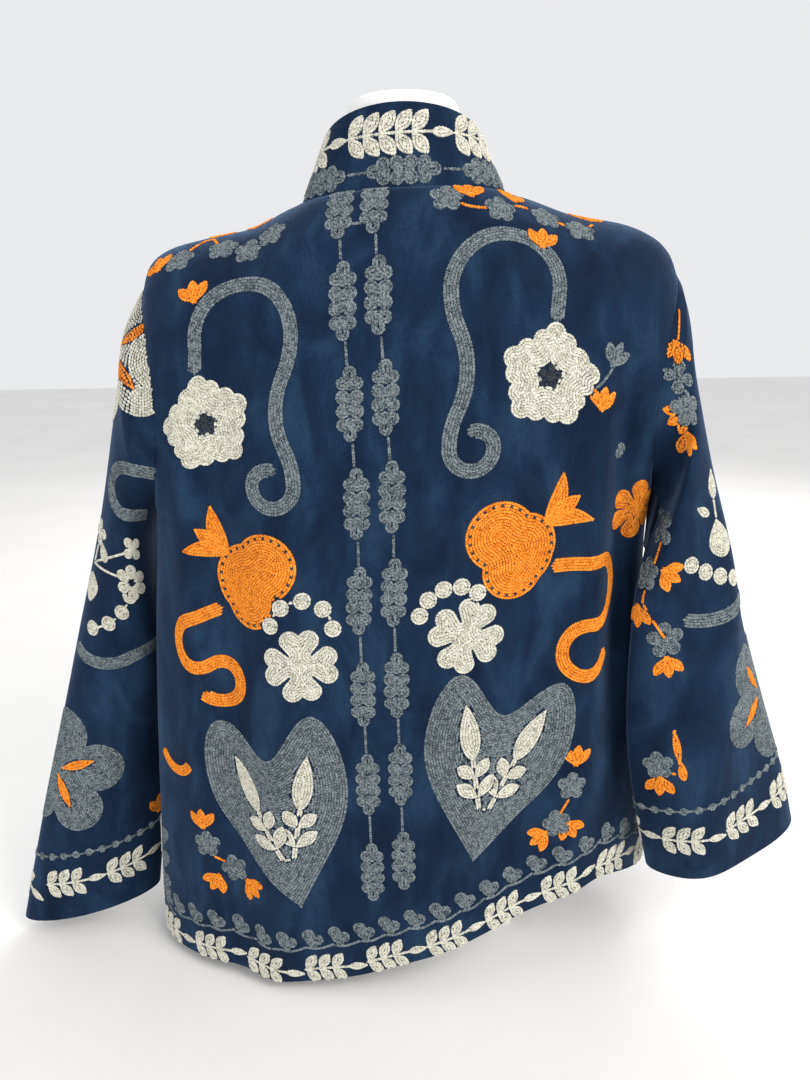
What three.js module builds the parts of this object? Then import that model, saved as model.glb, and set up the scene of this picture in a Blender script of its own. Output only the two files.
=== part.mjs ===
// A velvet kimono jacket standing on a limbless dress form.
//
// Frame, millimetres: +X to the right of someone behind the jacket, +Y the way the jacket
// faces, +Z up, with the origin in the middle of the form's flat base. The cloth is a wall
// of one thickness. Its outer faces are surfaces of two parameters, and its inner faces
// are the same surfaces moved in along their normals.

import * as THREE from "three";
import { mergeVertices } from "three/addons/utils/BufferGeometryUtils.js";

// Cloth
const WALL = 2;
const SEAM = 0.3;

// Body: the section at each height, from the armpits to the hem
const BODY = [
  { z: 720, left: -222, right: 238, back: 88, front: 84 },
  { z: 640, left: -222, right: 238, back: 98, front: 94 },
  { z: 540, left: -224, right: 228, back: 106, front: 106 },
  { z: 464, left: -227, right: 224, back: 109, front: 111 },
  { z: 360, left: -241, right: 228, back: 113, front: 112 },
  { z: 220, left: -253, right: 237, back: 119, front: 115 },
  { z: 80, left: -262, right: 245, back: 126, front: 120 },
  { z: 0, left: -265, right: 248, back: 130, front: 123 },
];
const ROUNDNESS = 0.85;

// Shoulder line from the left armhole to the right one
const SHOULDER = [
  { x: -222, z: 651 },
  { x: -215, z: 670 },
  { x: -199, z: 682 },
  { x: -169, z: 690 },
  { x: -123, z: 699 },
  { x: -85, z: 715 },
  { x: 4, z: 722 },
  { x: 93, z: 721 },
  { x: 149, z: 704 },
  { x: 190, z: 697 },
  { x: 217, z: 686 },
  { x: 231, z: 673 },
  { x: 238, z: 657 },
];
const ARMHOLE_DEPTH = 70;
const ARMHOLE_SCOOP = 17;
const UNDERARM_SLOPE = 80;
const ARMHOLES = {
  left: { side: -1, topX: -222, topZ: 651, pitX: -227, pitZ: 460 },
  right: { side: 1, topX: 238, topZ: 657, pitX: 224, pitZ: 466 },
};
const OPEN_SECTION = THREE.MathUtils.degToRad(64);
const NAPE_DROP = 70;

// Neckline and stand collar
const NECK_X = 4;
const NECK_HALF = 89;
const NECK_BACK = 60;
const NECK_FRONT = 72;
const NECK_FRONT_DROP = 34;
const COLLAR_TOP_HALF = 66;
const COLLAR_TOP_BACK = 50;
const COLLAR_TOP_FRONT = 60;
const COLLAR_TOP_Z = 785;
const COLLAR_TOP_DROP = 46;

// Hem of the back, fuller to the left, and the level hem of the fronts
const HEM = [
  { x: -265, z: 9 },
  { x: -221, z: 12 },
  { x: -175, z: 16 },
  { x: -127, z: 13 },
  { x: -60, z: 22 },
  { x: -11, z: 37 },
  { x: 83, z: 70 },
  { x: 140, z: 90 },
  { x: 181, z: 99 },
  { x: 245, z: 80 },
];
const FRONT_HEM = 40;
const FRONT_HEM_SHARE = 0.5;
const VENT_HEIGHT = 125;
const VENT_OPENING = 9;

// Front edges: half the gap between them at the collar and at the hem
const GAP_TOP = 12;
const GAP_HEM = 24;

// Folds of the body: where each runs, how far it spreads and how far it stands out or in
const BACK_FOLDS = [
  { xTop: 160, xHem: 166, top: 610, end: 120, spread: 15, out: 9 },
  { xTop: 186, xHem: 196, top: 600, end: 190, spread: 13, out: -15 },
  { xTop: 150, xHem: 162, top: 330, end: -60, spread: 20, out: 6 },
  { xTop: 96, xHem: 104, top: 420, end: -80, spread: 26, out: -5 },
  { xTop: 20, xHem: 30, top: 380, end: -120, spread: 34, out: 5 },
  { xTop: -100, xHem: -128, top: 520, end: -150, spread: 26, out: 8 },
  { xTop: -150, xHem: -164, top: 600, end: -60, spread: 20, out: -8 },
  { xTop: -186, xHem: -206, top: 600, end: 40, spread: 16, out: 7 },
];
// Share of the section, from its sides, over which folds and edges fade out
const FOLD_FREE = 0.33;
const EDGE_HOLD = 8;
const FRONT_FOLDS = [
  { xTop: 165, xHem: 178, top: 600, end: 60, spread: 22, out: 7 },
  { xTop: 118, xHem: 126, top: 540, end: -60, spread: 22, out: -7 },
  { xTop: 66, xHem: 74, top: 420, end: -120, spread: 24, out: 5 },
  { xTop: -70, xHem: -84, top: 440, end: -120, spread: 24, out: 6 },
  { xTop: -120, xHem: -134, top: 560, end: -60, spread: 22, out: -7 },
  { xTop: -168, xHem: -186, top: 600, end: 60, spread: 20, out: 7 },
];

// Sleeves: the outer and the inner edge of each section, its depths behind and before
// them, and a pressed crease behind: its angle from the outer edge and its height
const SLEEVES = {
  left: [
    { outX: -222, outY: 0, outZ: 651, inX: -227, inY: 0, inZ: 460, back: 70, front: 70, at: 120, fold: 0 },
    { outX: -238, outY: 1, outZ: 624, inX: -232, inY: 2, inZ: 452, back: 66, front: 66, at: 120, fold: 0 },
    { outX: -247, outY: 3, outZ: 592, inX: -237, inY: 7, inZ: 440, back: 60, front: 60, at: 120, fold: 2 },
    { outX: -260, outY: 5, outZ: 551, inX: -243, inY: 14, inZ: 420, back: 54, front: 54, at: 120, fold: 3 },
    { outX: -283, outY: 6, outZ: 470, inX: -246, inY: 22, inZ: 382, back: 46, front: 46, at: 120, fold: 4 },
    { outX: -303, outY: 4, outZ: 402, inX: -248, inY: 32, inZ: 340, back: 42, front: 42, at: 118, fold: 5 },
    { outX: -324, outY: 0, outZ: 330, inX: -252, inY: 38, inZ: 286, back: 40, front: 40, at: 112, fold: 5 },
    { outX: -343, outY: -5, outZ: 262, inX: -260, inY: 40, inZ: 230, back: 39, front: 39, at: 108, fold: 4 },
    { outX: -363, outY: -11, outZ: 194, inX: -263, inY: 32, inZ: 170, back: 36, front: 36, at: 100, fold: 3 },
    { outX: -386, outY: -20, outZ: 112, inX: -267, inY: 18, inZ: 105, back: 33, front: 33, at: 96, fold: 2 },
    { outX: -410, outY: -30, outZ: 18, inX: -273, inY: -2, inZ: 36, back: 28, front: 28, at: 90, fold: 1 },
  ],
  right: [
    { outX: 238, outY: 0, outZ: 657, inX: 224, inY: 0, inZ: 466, back: 70, front: 70, at: 40, fold: 0 },
    { outX: 246, outY: -1, outZ: 632, inX: 228, inY: -6, inZ: 456, back: 65, front: 63, at: 40, fold: 0 },
    { outX: 250, outY: -4, outZ: 600, inX: 230, inY: -26, inZ: 443, back: 59, front: 40, at: 40, fold: 0 },
    { outX: 258, outY: -9, outZ: 548, inX: 214, inY: -61, inZ: 418, back: 53, front: 13, at: 40, fold: 2 },
    { outX: 272, outY: -14, outZ: 478, inX: 203, inY: -80, inZ: 384, back: 44, front: 18, at: 42, fold: 6 },
    { outX: 290, outY: -19, outZ: 414, inX: 200, inY: -86, inZ: 343, back: 40, front: 20, at: 56, fold: 10 },
    { outX: 310, outY: -24, outZ: 354, inX: 199, inY: -89, inZ: 298, back: 36, front: 21, at: 76, fold: 13 },
    { outX: 332, outY: -29, outZ: 290, inX: 201, inY: -90, inZ: 250, back: 34, front: 22, at: 96, fold: 14 },
    { outX: 352, outY: -34, outZ: 232, inX: 208, inY: -88, inZ: 202, back: 34, front: 23, at: 110, fold: 14 },
    { outX: 368, outY: -39, outZ: 186, inX: 219, inY: -83, inZ: 153, back: 35, front: 25, at: 118, fold: 13 },
    { outX: 380, outY: -44, outZ: 138, inX: 231, inY: -78, inZ: 104, back: 36, front: 28, at: 122, fold: 12 },
  ],
};
const CREASE_SPREAD = 46;

// Dress form: its section at each height below the shoulders, and its neck
const FORM_REST = 0.6;
const FORM_THROAT = 1.6;
const FORM_SHORTER = 9;
const FORM_ARM_DROP = 95;
const FORM_ARMPIT = 462;
const FORM_CLOSE_ROWS = 4;
const FORM = [
  { z: 720, half: 221, back: 78, front: 74, lean: 8 },
  { z: 640, half: 215, back: 88, front: 84, lean: 6 },
  { z: 560, half: 198, back: 90, front: 88, lean: 3 },
  { z: 460, half: 172, back: 90, front: 96, lean: 0 },
  { z: 330, half: 142, back: 84, front: 90, lean: -4 },
  { z: 200, half: 158, back: 96, front: 94, lean: -8 },
  { z: 120, half: 152, back: 86, front: 92, lean: -12 },
  { z: 55, half: 128, back: 66, front: 84, lean: -17 },
  { z: 0, half: 100, back: 46, front: 72, lean: -20 },
];
const FORM_NECK = [
  { up: 0, half: 82, back: 54, front: 65 },
  { up: 0.1, half: 70, back: 50, front: 57 },
  { up: 0.26, half: 56, back: 48, front: 50 },
  { up: 0.5, half: 49, back: 47, front: 47 },
  { up: 0.8, half: 48, back: 46, front: 46 },
  { up: 0.94, half: 42, back: 40, front: 40 },
  { up: 0.99, half: 26, back: 25, front: 25 },
];
const FORM_TOP = 799;

// Divisions of the surfaces
const TOP_ROWS = 6;
const ARMHOLE_ROWS = 6;
const SKIRT_ROWS = 10;
const NECK_COLUMNS = 10;
const SHOULDER_COLUMNS = 12;
const SLEEVE_STEPS = 2;
const SLEEVE_ROUND = 24;
const COLLAR_ROWS = 3;
const CROWDING = THREE.MathUtils.degToRad(66);

const QUARTER = Math.PI / 2;
const { clamp, lerp, smoothstep } = THREE.MathUtils;

// Value of a column at a place along a table, on a smooth curve through its rows.
function along(rows, key, place, column) {
  const falling = rows[0][key] > rows[rows.length - 1][key];
  const list = falling ? [...rows].reverse() : rows;
  const last = list.length - 1;
  if (place <= list[0][key]) return list[0][column];
  if (place >= list[last][key]) return list[last][column];
  let i = 0;
  while (place > list[i + 1][key]) i += 1;
  const slope = (a, b) => (list[b][column] - list[a][column]) / (list[b][key] - list[a][key]);
  const span = list[i + 1][key] - list[i][key];
  const s = (place - list[i][key]) / span;
  const rise = list[i + 1][column] - list[i][column];
  const m0 = (i > 0 ? slope(i - 1, i + 1) : slope(i, i + 1)) * span;
  const m1 = (i + 2 <= last ? slope(i, i + 2) : slope(i, i + 1)) * span;
  const c2 = 3 * rise - 2 * m0 - m1;
  const c3 = m0 + m1 - 2 * rise;
  return list[i][column] + s * (m0 + s * (c2 + s * c3));
}

// Armhole seam: x at a height, and the loop at an angle from its top towards the back.
function armholeX(hole, z) {
  const down = clamp((hole.topZ - z) / (hole.topZ - hole.pitZ), 0, 1);
  const scoop = hole.side * ARMHOLE_SCOOP * Math.sin(Math.PI * down);
  return lerp(hole.topX, hole.pitX, down) - scoop;
}

function armholeNormal(hole, angle) {
  const half = (hole.topZ - hole.pitZ) / 2;
  const normal = new THREE.Vector3(0, -Math.sin(angle) / ARMHOLE_DEPTH, Math.cos(angle) / half);
  return normal.normalize();
}

// Top edge of the body at x: its height and its y, for the back (-1) or the front (1).
function topEdge(x, face) {
  const across = (x - NECK_X) / NECK_HALF;
  const bow = Math.sqrt(Math.max(0, 1 - across * across));
  const z = along(SHOULDER, "x", x, "z") - (face > 0 ? NECK_FRONT_DROP * bow * bow : 0);
  const y = face * Math.max(SEAM / 2, (face > 0 ? NECK_FRONT : NECK_BACK) * bow);
  return { y, z };
}

function foldDepth(folds, x, z) {
  let depth = 0;
  for (const fold of folds) {
    const down = clamp((fold.top - z) / (fold.top - fold.end), 0, 1);
    const grown = Math.sin(Math.PI * Math.pow(down, 0.8)) * (down < 1 ? 1 : 0);
    const offset = (x - lerp(fold.xTop, fold.xHem, (fold.top - z) / fold.top)) / fold.spread;
    depth += fold.out * grown * Math.exp(-offset * offset);
  }
  return depth;
}

// One row of the body, as the edges of its section and how far its ring is closed.
// Rows run over the shoulder, down the armholes and down the skirt.
function bodyRow(row) {
  const overTop = Math.min(row / TOP_ROWS, 1) * QUARTER;
  const downArm = clamp((row - TOP_ROWS) / ARMHOLE_ROWS, 0, 1) * QUARTER;
  const downSkirt = clamp((row - TOP_ROWS - ARMHOLE_ROWS) / SKIRT_ROWS, 0, 1);
  const height = (top, drop, pit, hem) => {
    if (row <= TOP_ROWS) return top - drop * (1 - Math.cos(overTop));
    if (downSkirt > 0) return lerp(pit, hem, downSkirt);
    return lerp(top - drop, pit, Math.sin(downArm));
  };
  const edgeX = (hole, column) => {
    const drop = (hole.topZ - hole.pitZ) / 2;
    const hem = along(HEM, "x", hole.pitX, "z");
    const z = height(hole.topZ, drop, hole.pitZ, hem);
    return downSkirt > 0 ? along(BODY, "z", z, column) : armholeX(hole, z);
  };
  return {
    height,
    cover: Math.sin(overTop),
    ring: lerp(OPEN_SECTION, QUARTER, smoothstep(Math.sin(downArm), 0, 1)),
    edgeY: downArm > 0 ? ARMHOLE_DEPTH * Math.cos(downArm) : ARMHOLE_DEPTH,
    left: edgeX(ARMHOLES.left, "left"),
    right: edgeX(ARMHOLES.right, "right"),
  };
}

// Point of the body at a row and a place across from -1, the left edge, to 1, the right.
function bodyPoint(row, across, face, folds) {
  const section = bodyRow(row);
  const first = bodyRow(0);
  const xOf = (part) => {
    const half = (part.right - part.left) / 2;
    const turn = Math.sin(across * part.ring) / Math.sin(part.ring);
    return (part.left + part.right) / 2 + half * turn;
  };
  const top = topEdge(xOf(first), face);
  const hole = across < 0 ? ARMHOLES.left : ARMHOLES.right;
  const drop = lerp(NAPE_DROP, (hole.topZ - hole.pitZ) / 2, Math.abs(across));
  const pit = lerp(ARMHOLES.left.pitZ, ARMHOLES.right.pitZ, (across + 1) / 2);
  const x = xOf(section);
  const backHem = along(HEM, "x", x, "z");
  const hem = face < 0 ? backHem : lerp(FRONT_HEM, backHem, FRONT_HEM_SHARE);
  const z = section.height(top.z, drop, pit, hem);
  const bow = (angle) => Math.pow(Math.max(0, Math.cos(angle)), ROUNDNESS);
  const closed = bow(section.ring);
  const weight = (bow(across * section.ring) - closed) / (1 - closed);
  const middle = along(BODY, "z", z, face < 0 ? "back" : "front");
  const below = smoothstep(top.z - drop - z, 0, top.z - drop - pit + UNDERARM_SLOPE);
  const side = lerp(ARMHOLE_DEPTH * (1 - below), section.edgeY, Math.abs(across) ** EDGE_HOLD);
  const full = lerp(side, middle, weight);
  const fold = foldDepth(folds, x, z) * Math.min(1, weight / FOLD_FREE);
  const y = lerp(Math.abs(top.y), full, section.cover) + fold * section.cover;
  const vent = clamp((hem + VENT_HEIGHT - z) / VENT_HEIGHT, 0, 1);
  const opened = VENT_OPENING * vent * Math.abs(across) ** EDGE_HOLD;
  return new THREE.Vector3(x, face * (Math.max(y, SEAM / 2) + opened), z);
}

// Places across a body panel whose first row meets the neck points and the armholes.
function bodyColumns() {
  const first = bodyRow(0);
  const middle = (first.left + first.right) / 2;
  const half = (first.right - first.left) / 2;
  const place = (x) => Math.asin(((x - middle) / half) * Math.sin(first.ring)) / first.ring;
  const share = (i) => 1 - Math.sin((1 - i / SHOULDER_COLUMNS) * CROWDING) / Math.sin(CROWDING);
  const columns = [];
  const [neckLeft, neckRight] = [NECK_X - NECK_HALF, NECK_X + NECK_HALF];
  for (let i = 0; i < SHOULDER_COLUMNS; i += 1) {
    columns.push(place(lerp(first.left, neckLeft, share(i))));
  }
  for (let i = 0; i < NECK_COLUMNS; i += 1) {
    columns.push(place(NECK_X - NECK_HALF * Math.cos((i / NECK_COLUMNS) * Math.PI)));
  }
  for (let i = 0; i <= SHOULDER_COLUMNS; i += 1) {
    columns.push(place(lerp(first.right, neckRight, share(SHOULDER_COLUMNS - i))));
  }
  return columns;
}

// Outward normals of a grid of points, from the points beside each one.
function gridNormals(grid, round, outward) {
  const rows = grid.length;
  const columns = grid[0].length;
  return grid.map((line, i) => line.map((_, j) => {
    const before = round ? (j + columns - 1) % columns : Math.max(j - 1, 0);
    const after = round ? (j + 1) % columns : Math.min(j + 1, columns - 1);
    const across = new THREE.Vector3().subVectors(line[after], line[before]);
    const down = new THREE.Vector3().subVectors(
      grid[Math.min(i + 1, rows - 1)][j],
      grid[Math.max(i - 1, 0)][j],
    );
    return down.cross(across).multiplyScalar(outward).normalize();
  }));
}

function moveIn(grid, normals) {
  return grid.map((line, i) => line.map((p, j) => p.clone().addScaledVector(normals[i][j], -WALL)));
}

// Closed wall between an outer and an inner grid, with rims along the open edges.
function wall(outer, inner, round) {
  const rows = outer.length;
  const columns = outer[0].length;
  const points = [...outer.flat(), ...inner.flat()];
  const faces = [];
  const at = (skin, i, j) => skin * rows * columns + i * columns + (j % columns);
  const quad = (a, b, c, d) => faces.push(a, b, c, a, c, d);
  const spans = round ? columns : columns - 1;
  for (let i = 0; i < rows - 1; i += 1) {
    for (let j = 0; j < spans; j += 1) {
      quad(at(0, i, j), at(0, i + 1, j), at(0, i + 1, j + 1), at(0, i, j + 1));
      quad(at(1, i, j), at(1, i, j + 1), at(1, i + 1, j + 1), at(1, i + 1, j));
    }
  }
  for (let j = 0; j < spans; j += 1) {
    quad(at(0, 0, j), at(0, 0, j + 1), at(1, 0, j + 1), at(1, 0, j));
    quad(at(0, rows - 1, j), at(1, rows - 1, j), at(1, rows - 1, j + 1), at(0, rows - 1, j + 1));
  }
  for (let i = 0; i < rows - 1 && !round; i += 1) {
    const end = columns - 1;
    quad(at(0, i, 0), at(1, i, 0), at(1, i + 1, 0), at(0, i + 1, 0));
    quad(at(0, i, end), at(0, i + 1, end), at(1, i + 1, end), at(1, i, end));
  }
  return solid(points, faces);
}

// Geometry of a closed surface, turned so that its faces point out.
function solid(points, faces) {
  let volume = 0;
  for (let i = 0; i < faces.length; i += 3) {
    const [a, b, c] = [points[faces[i]], points[faces[i + 1]], points[faces[i + 2]]];
    volume += a.dot(b.clone().cross(c));
  }
  const turned = volume < 0 ? [...faces].reverse() : faces;
  const geometry = new THREE.BufferGeometry();
  const positions = points.flatMap((p) => [p.x, p.y, p.z]);
  geometry.setAttribute("position", new THREE.Float32BufferAttribute(positions, 3));
  geometry.setIndex(turned);
  return mergeVertices(geometry, 1e-4);
}

// Body panel between two edges: the whole back, or one front from its open edge.
function bodyPanel(columns, face, folds, placeOf) {
  const lastRow = TOP_ROWS + ARMHOLE_ROWS + SKIRT_ROWS;
  const outer = [];
  for (let row = 0; row <= lastRow; row += 1) {
    outer.push(columns.map((column) => bodyPoint(row, placeOf(row, column), face, folds)));
  }
  const normals = gridNormals(outer, false, face < 0 ? 1 : -1);
  const pitRow = TOP_ROWS + ARMHOLE_ROWS;
  const sides = columns.map((column) => Math.abs(column) > 0.999);
  for (let row = 0; row <= lastRow; row += 1) {
    for (let j = 0; j < columns.length; j += 1) {
      const normal = normals[row][j];
      const neck = Math.abs(outer[row][j].x - NECK_X) < NECK_HALF + 0.5;
      if (row === 0 && neck) normal.set(0, 0, 1);
      if (row === 0 || (sides[j] && row >= pitRow)) normal.setY(0).normalize();
    }
  }
  const inner = moveIn(outer, normals);
  for (let row = 0; row < pitRow; row += 1) {
    for (let j = 0; j < columns.length; j += 1) {
      if (!sides[j]) continue;
      const hole = columns[j] < 0 ? ARMHOLES.left : ARMHOLES.right;
      const turn = row <= TOP_ROWS
        ? (row / TOP_ROWS) * QUARTER
        : QUARTER + ((row - TOP_ROWS) / ARMHOLE_ROWS) * QUARTER;
      const normal = armholeNormal(hole, turn);
      normal.y *= -face;
      inner[row][j].copy(outer[row][j]).addScaledVector(normal, -WALL);
      inner[row][j].x = armholeX(hole, inner[row][j].z);
    }
  }
  return wall(outer, inner, false);
}

function backPanel() {
  return bodyPanel(bodyColumns(), -1, BACK_FOLDS, (row, column) => column);
}

// A front keeps the places of its columns between its open edge and its side.
function frontPanel(side) {
  const edgePlace = (row) => {
    const section = bodyRow(row);
    const half = (section.right - section.left) / 2;
    const middle = (section.right + section.left) / 2;
    const down = row / (TOP_ROWS + ARMHOLE_ROWS + SKIRT_ROWS);
    const x = NECK_X + side * lerp(GAP_TOP, GAP_HEM, down);
    return Math.asin(((x - middle) / half) * Math.sin(section.ring)) / section.ring;
  };
  const start = edgePlace(0);
  const own = bodyColumns().filter((column) => (column - start) * side > 0.01);
  const columns = side > 0 ? [start, ...own] : [...own, start];
  const placeOf = (row, column) => {
    const share = (column - start) / (side - start);
    return lerp(edgePlace(row), side, share);
  };
  return bodyPanel(columns, 1, FRONT_FOLDS, placeOf);
}

// Sleeve: sections lofted from the armhole to the cuff.
function sleeve(name) {
  const hole = ARMHOLES[name];
  const rows = SLEEVES[name].map((row, step) => ({ ...row, step }));
  const outer = [];
  for (let ring = 0; ring <= (rows.length - 1) * SLEEVE_STEPS; ring += 1) {
    const step = ring / SLEEVE_STEPS;
    const value = (column) => along(rows, "step", step, column);
    const out = new THREE.Vector3(value("outX"), value("outY"), value("outZ"));
    const inn = new THREE.Vector3(value("inX"), value("inY"), value("inZ"));
    const centre = out.clone().add(inn).multiplyScalar(0.5);
    const width = out.clone().sub(inn).multiplyScalar(0.5);
    const unit = width.clone().normalize();
    const back = new THREE.Vector3(0, -1, 0);
    back.addScaledVector(unit, -back.dot(unit)).normalize();
    const line = [];
    for (let j = 0; j < SLEEVE_ROUND; j += 1) {
      const angle = (j / SLEEVE_ROUND) * 2 * Math.PI;
      const away = Math.abs((angle * 180) / Math.PI - value("at")) / CREASE_SPREAD;
      const depth = value(angle < Math.PI ? "back" : "front");
      const reach = depth * Math.sin(angle) + value("fold") * Math.max(0, 1 - away);
      const point = centre.clone().addScaledVector(width, Math.cos(angle));
      line.push(point.addScaledVector(back, reach));
    }
    outer.push(line);
  }
  const inner = moveIn(outer, gridNormals(outer, true, -hole.side));
  outer[0].forEach((point, j) => {
    const normal = armholeNormal(hole, (j / SLEEVE_ROUND) * 2 * Math.PI);
    inner[0][j].copy(point).addScaledVector(normal, -WALL);
    point.x = armholeX(hole, point.z) + hole.side * SEAM;
    inner[0][j].x = armholeX(hole, inner[0][j].z) + hole.side * SEAM;
  });
  return wall(outer, inner, true);
}

// Stand collar: a band that rises from the neckline and leans in, open at the front.
function collar() {
  const end = Math.PI - Math.asin(GAP_TOP / NECK_HALF);
  const angles = [-end];
  for (let j = 1 - NECK_COLUMNS; j < NECK_COLUMNS; j += 1) angles.push((j / NECK_COLUMNS) * Math.PI);
  angles.push(end);
  const outer = [];
  for (let i = 0; i <= COLLAR_ROWS; i += 1) {
    const up = i / COLLAR_ROWS;
    const line = [];
    for (const angle of angles) {
      const half = lerp(NECK_HALF - SEAM, COLLAR_TOP_HALF, up);
      const facing = Math.cos(angle) > 0 ? -1 : 1;
      const foot = facing < 0 ? NECK_BACK : NECK_FRONT;
      const head = facing < 0 ? COLLAR_TOP_BACK : COLLAR_TOP_FRONT;
      const x = NECK_X + half * Math.sin(angle);
      const y = -Math.cos(angle) * lerp(foot - SEAM, head, up);
      const footX = NECK_X + NECK_HALF * Math.sin(angle) * 0.999;
      const base = topEdge(footX, facing).z - WALL;
      const top = COLLAR_TOP_Z - COLLAR_TOP_DROP * (1 - Math.cos(angle)) / 2;
      line.push(new THREE.Vector3(x, y, lerp(base, top, up)));
    }
    outer.push(line);
  }
  const normals = gridNormals(outer, false, -1);
  normals[0].forEach((normal) => normal.setZ(0).normalize());
  normals[COLLAR_ROWS].forEach((normal) => normal.setZ(0).normalize());
  return wall(outer, moveIn(outer, normals), false);
}

// Dress form: rings that share their first row along the shoulders, then its neck and base.
function dressForm() {
  const columns = bodyColumns();
  const lastRow = TOP_ROWS + ARMHOLE_ROWS + SKIRT_ROWS;
  const first = bodyRow(0);
  const middle = (first.left + first.right) / 2;
  const half = (first.right - first.left) / 2;
  const ridge = columns.map((c) => middle + (half * Math.sin(c * first.ring)) / Math.sin(first.ring));
  const neckFrom = SHOULDER_COLUMNS;
  const neckTo = SHOULDER_COLUMNS + NECK_COLUMNS;
  const points = [];
  const faces = [];
  const point = (row, j, face) => {
    const x0 = ridge[j];
    const top = topEdge(x0, face);
    const section = bodyRow(row);
    const drop = lerp(NAPE_DROP, FORM_ARM_DROP, Math.abs(columns[j]));
    const rest = face > 0 && j > neckFrom && j < neckTo ? FORM_THROAT : FORM_REST;
    const z = section.height(top.z - WALL - rest, drop, FORM_ARMPIT, 0);
    const value = (column) => along(FORM, "z", z, column);
    const flat = (x0 - middle) / half;
    const angle = Math.asin(clamp(flat, -1, 1));
    const neck = j > neckFrom && j < neckTo;
    const startY = neck ? Math.abs(top.y) : 0;
    const bow = Math.pow(Math.max(0, Math.cos(angle)), ROUNDNESS);
    const y = lerp(startY, value(face < 0 ? "back" : "front") * bow, section.cover);
    const clothHalf = (section.right - section.left) / 2;
    const inset = row === 0 ? FORM_SHORTER : clothHalf - value("half");
    const lean = row === 0 ? middle : value("lean");
    const x = lean + clothHalf * flat - inset * flat ** 3;
    return new THREE.Vector3(x, face * y, z);
  };
  const add = (p) => points.push(p) - 1;
  const ringAt = (row) => {
    const ring = columns.map((_, j) => add(point(row, j, -1)));
    for (let j = columns.length - 2; j > 0; j -= 1) ring.push(add(point(row, j, 1)));
    return ring;
  };
  const join = (upper, lower) => {
    const n = upper.length;
    for (let j = 0; j < n; j += 1) {
      const k = (j + 1) % n;
      faces.push(upper[j], lower[j], lower[k], upper[j], lower[k], upper[k]);
    }
  };
  const rings = [];
  for (let row = 0; row <= lastRow; row += row < FORM_CLOSE_ROWS ? 1 : 2) rings.push(ringAt(row));
  for (let i = 0; i < rings.length - 1; i += 1) join(rings[i], rings[i + 1]);
  const base = rings[rings.length - 1];
  const foot = add(new THREE.Vector3(0, 0, 0));
  base.forEach((p, j) => faces.push(p, foot, base[(j + 1) % base.length]));
  const backNeck = rings[0].slice(neckFrom, neckTo + 1);
  const frontFrom = 2 * columns.length - 1 - neckTo;
  const frontNeck = rings[0].slice(frontFrom, frontFrom + NECK_COLUMNS - 1);
  let lower = [...backNeck, ...frontNeck];
  const neckline = lower.map((p) => points[p]);
  for (const level of FORM_NECK) {
    const upper = lower.map((_, j) => {
      const angle = (j / lower.length) * 2 * Math.PI;
      const y = -Math.sin(angle) * (Math.sin(angle) > 0 ? level.back : level.front);
      const z = lerp(neckline[j].z, FORM_TOP, level.up);
      return add(new THREE.Vector3(NECK_X - level.half * Math.cos(angle), y, z));
    });
    join(upper, lower);
    lower = upper;
  }
  const crown = add(new THREE.Vector3(NECK_X, 0, FORM_TOP));
  lower.forEach((p, j) => faces.push(crown, p, lower[(j + 1) % lower.length]));
  return solid(points, faces);
}

const VELVET = { color: 0x1d3458, roughness: 0.9, metalness: 0 };
const FORM_PAINT = { color: 0xf0efea, roughness: 0.55, metalness: 0 };

const jacket = new THREE.Group();

function piece(name, geometry, finish) {
  const mesh = new THREE.Mesh(geometry, new THREE.MeshStandardMaterial(finish));
  mesh.name = name;
  jacket.add(mesh);
}

piece("back_panel", backPanel(), VELVET);
piece("left_front", frontPanel(-1), VELVET);
piece("right_front", frontPanel(1), VELVET);
piece("left_sleeve", sleeve("left"), VELVET);
piece("right_sleeve", sleeve("right"), VELVET);
piece("stand_collar", collar(), VELVET);
piece("dress_form", dressForm(), FORM_PAINT);

export default jacket;
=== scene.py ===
import bpy
import numpy as np
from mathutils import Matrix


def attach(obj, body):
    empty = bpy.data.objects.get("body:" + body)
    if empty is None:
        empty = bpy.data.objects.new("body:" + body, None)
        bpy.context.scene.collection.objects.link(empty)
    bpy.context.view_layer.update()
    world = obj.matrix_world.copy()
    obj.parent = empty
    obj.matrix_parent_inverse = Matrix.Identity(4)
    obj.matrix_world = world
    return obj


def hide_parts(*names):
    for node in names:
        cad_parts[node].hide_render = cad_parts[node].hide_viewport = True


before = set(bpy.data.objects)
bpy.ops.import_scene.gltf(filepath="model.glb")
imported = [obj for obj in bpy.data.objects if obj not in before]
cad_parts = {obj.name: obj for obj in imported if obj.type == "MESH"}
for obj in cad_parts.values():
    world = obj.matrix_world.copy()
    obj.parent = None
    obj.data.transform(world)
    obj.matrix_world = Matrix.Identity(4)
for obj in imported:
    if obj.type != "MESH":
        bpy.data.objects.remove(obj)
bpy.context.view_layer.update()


# ---------------------------------------------------------------- dress form
# A limbless torso form of white painted plastic, blown as one hollow shell.
# It stands on its flat base, and the jacket hangs from its shoulders with its
# neck cap showing inside the collar. Sizes are in millimetres.
QUARTER = np.pi / 2
WALL = 2.0
SEAM = 0.3
SHARP_EDGE = np.radians(50)
NECK_X, NECK_HALF = 4, 89
NECK_BACK, NECK_FRONT, NECK_FRONT_DROP = 60, 72, 34
NAPE_DROP = 70
NECK_EASE, EASE_REACH = 0.3, 1.8
ROUNDNESS = 0.85
OPEN_SECTION = np.radians(64)
TOP_ROWS, ARMHOLE_ROWS, SKIRT_ROWS = 6, 6, 10
LAST_ROW = TOP_ROWS + ARMHOLE_ROWS + SKIRT_ROWS
CROWDING = np.radians(66)

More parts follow.
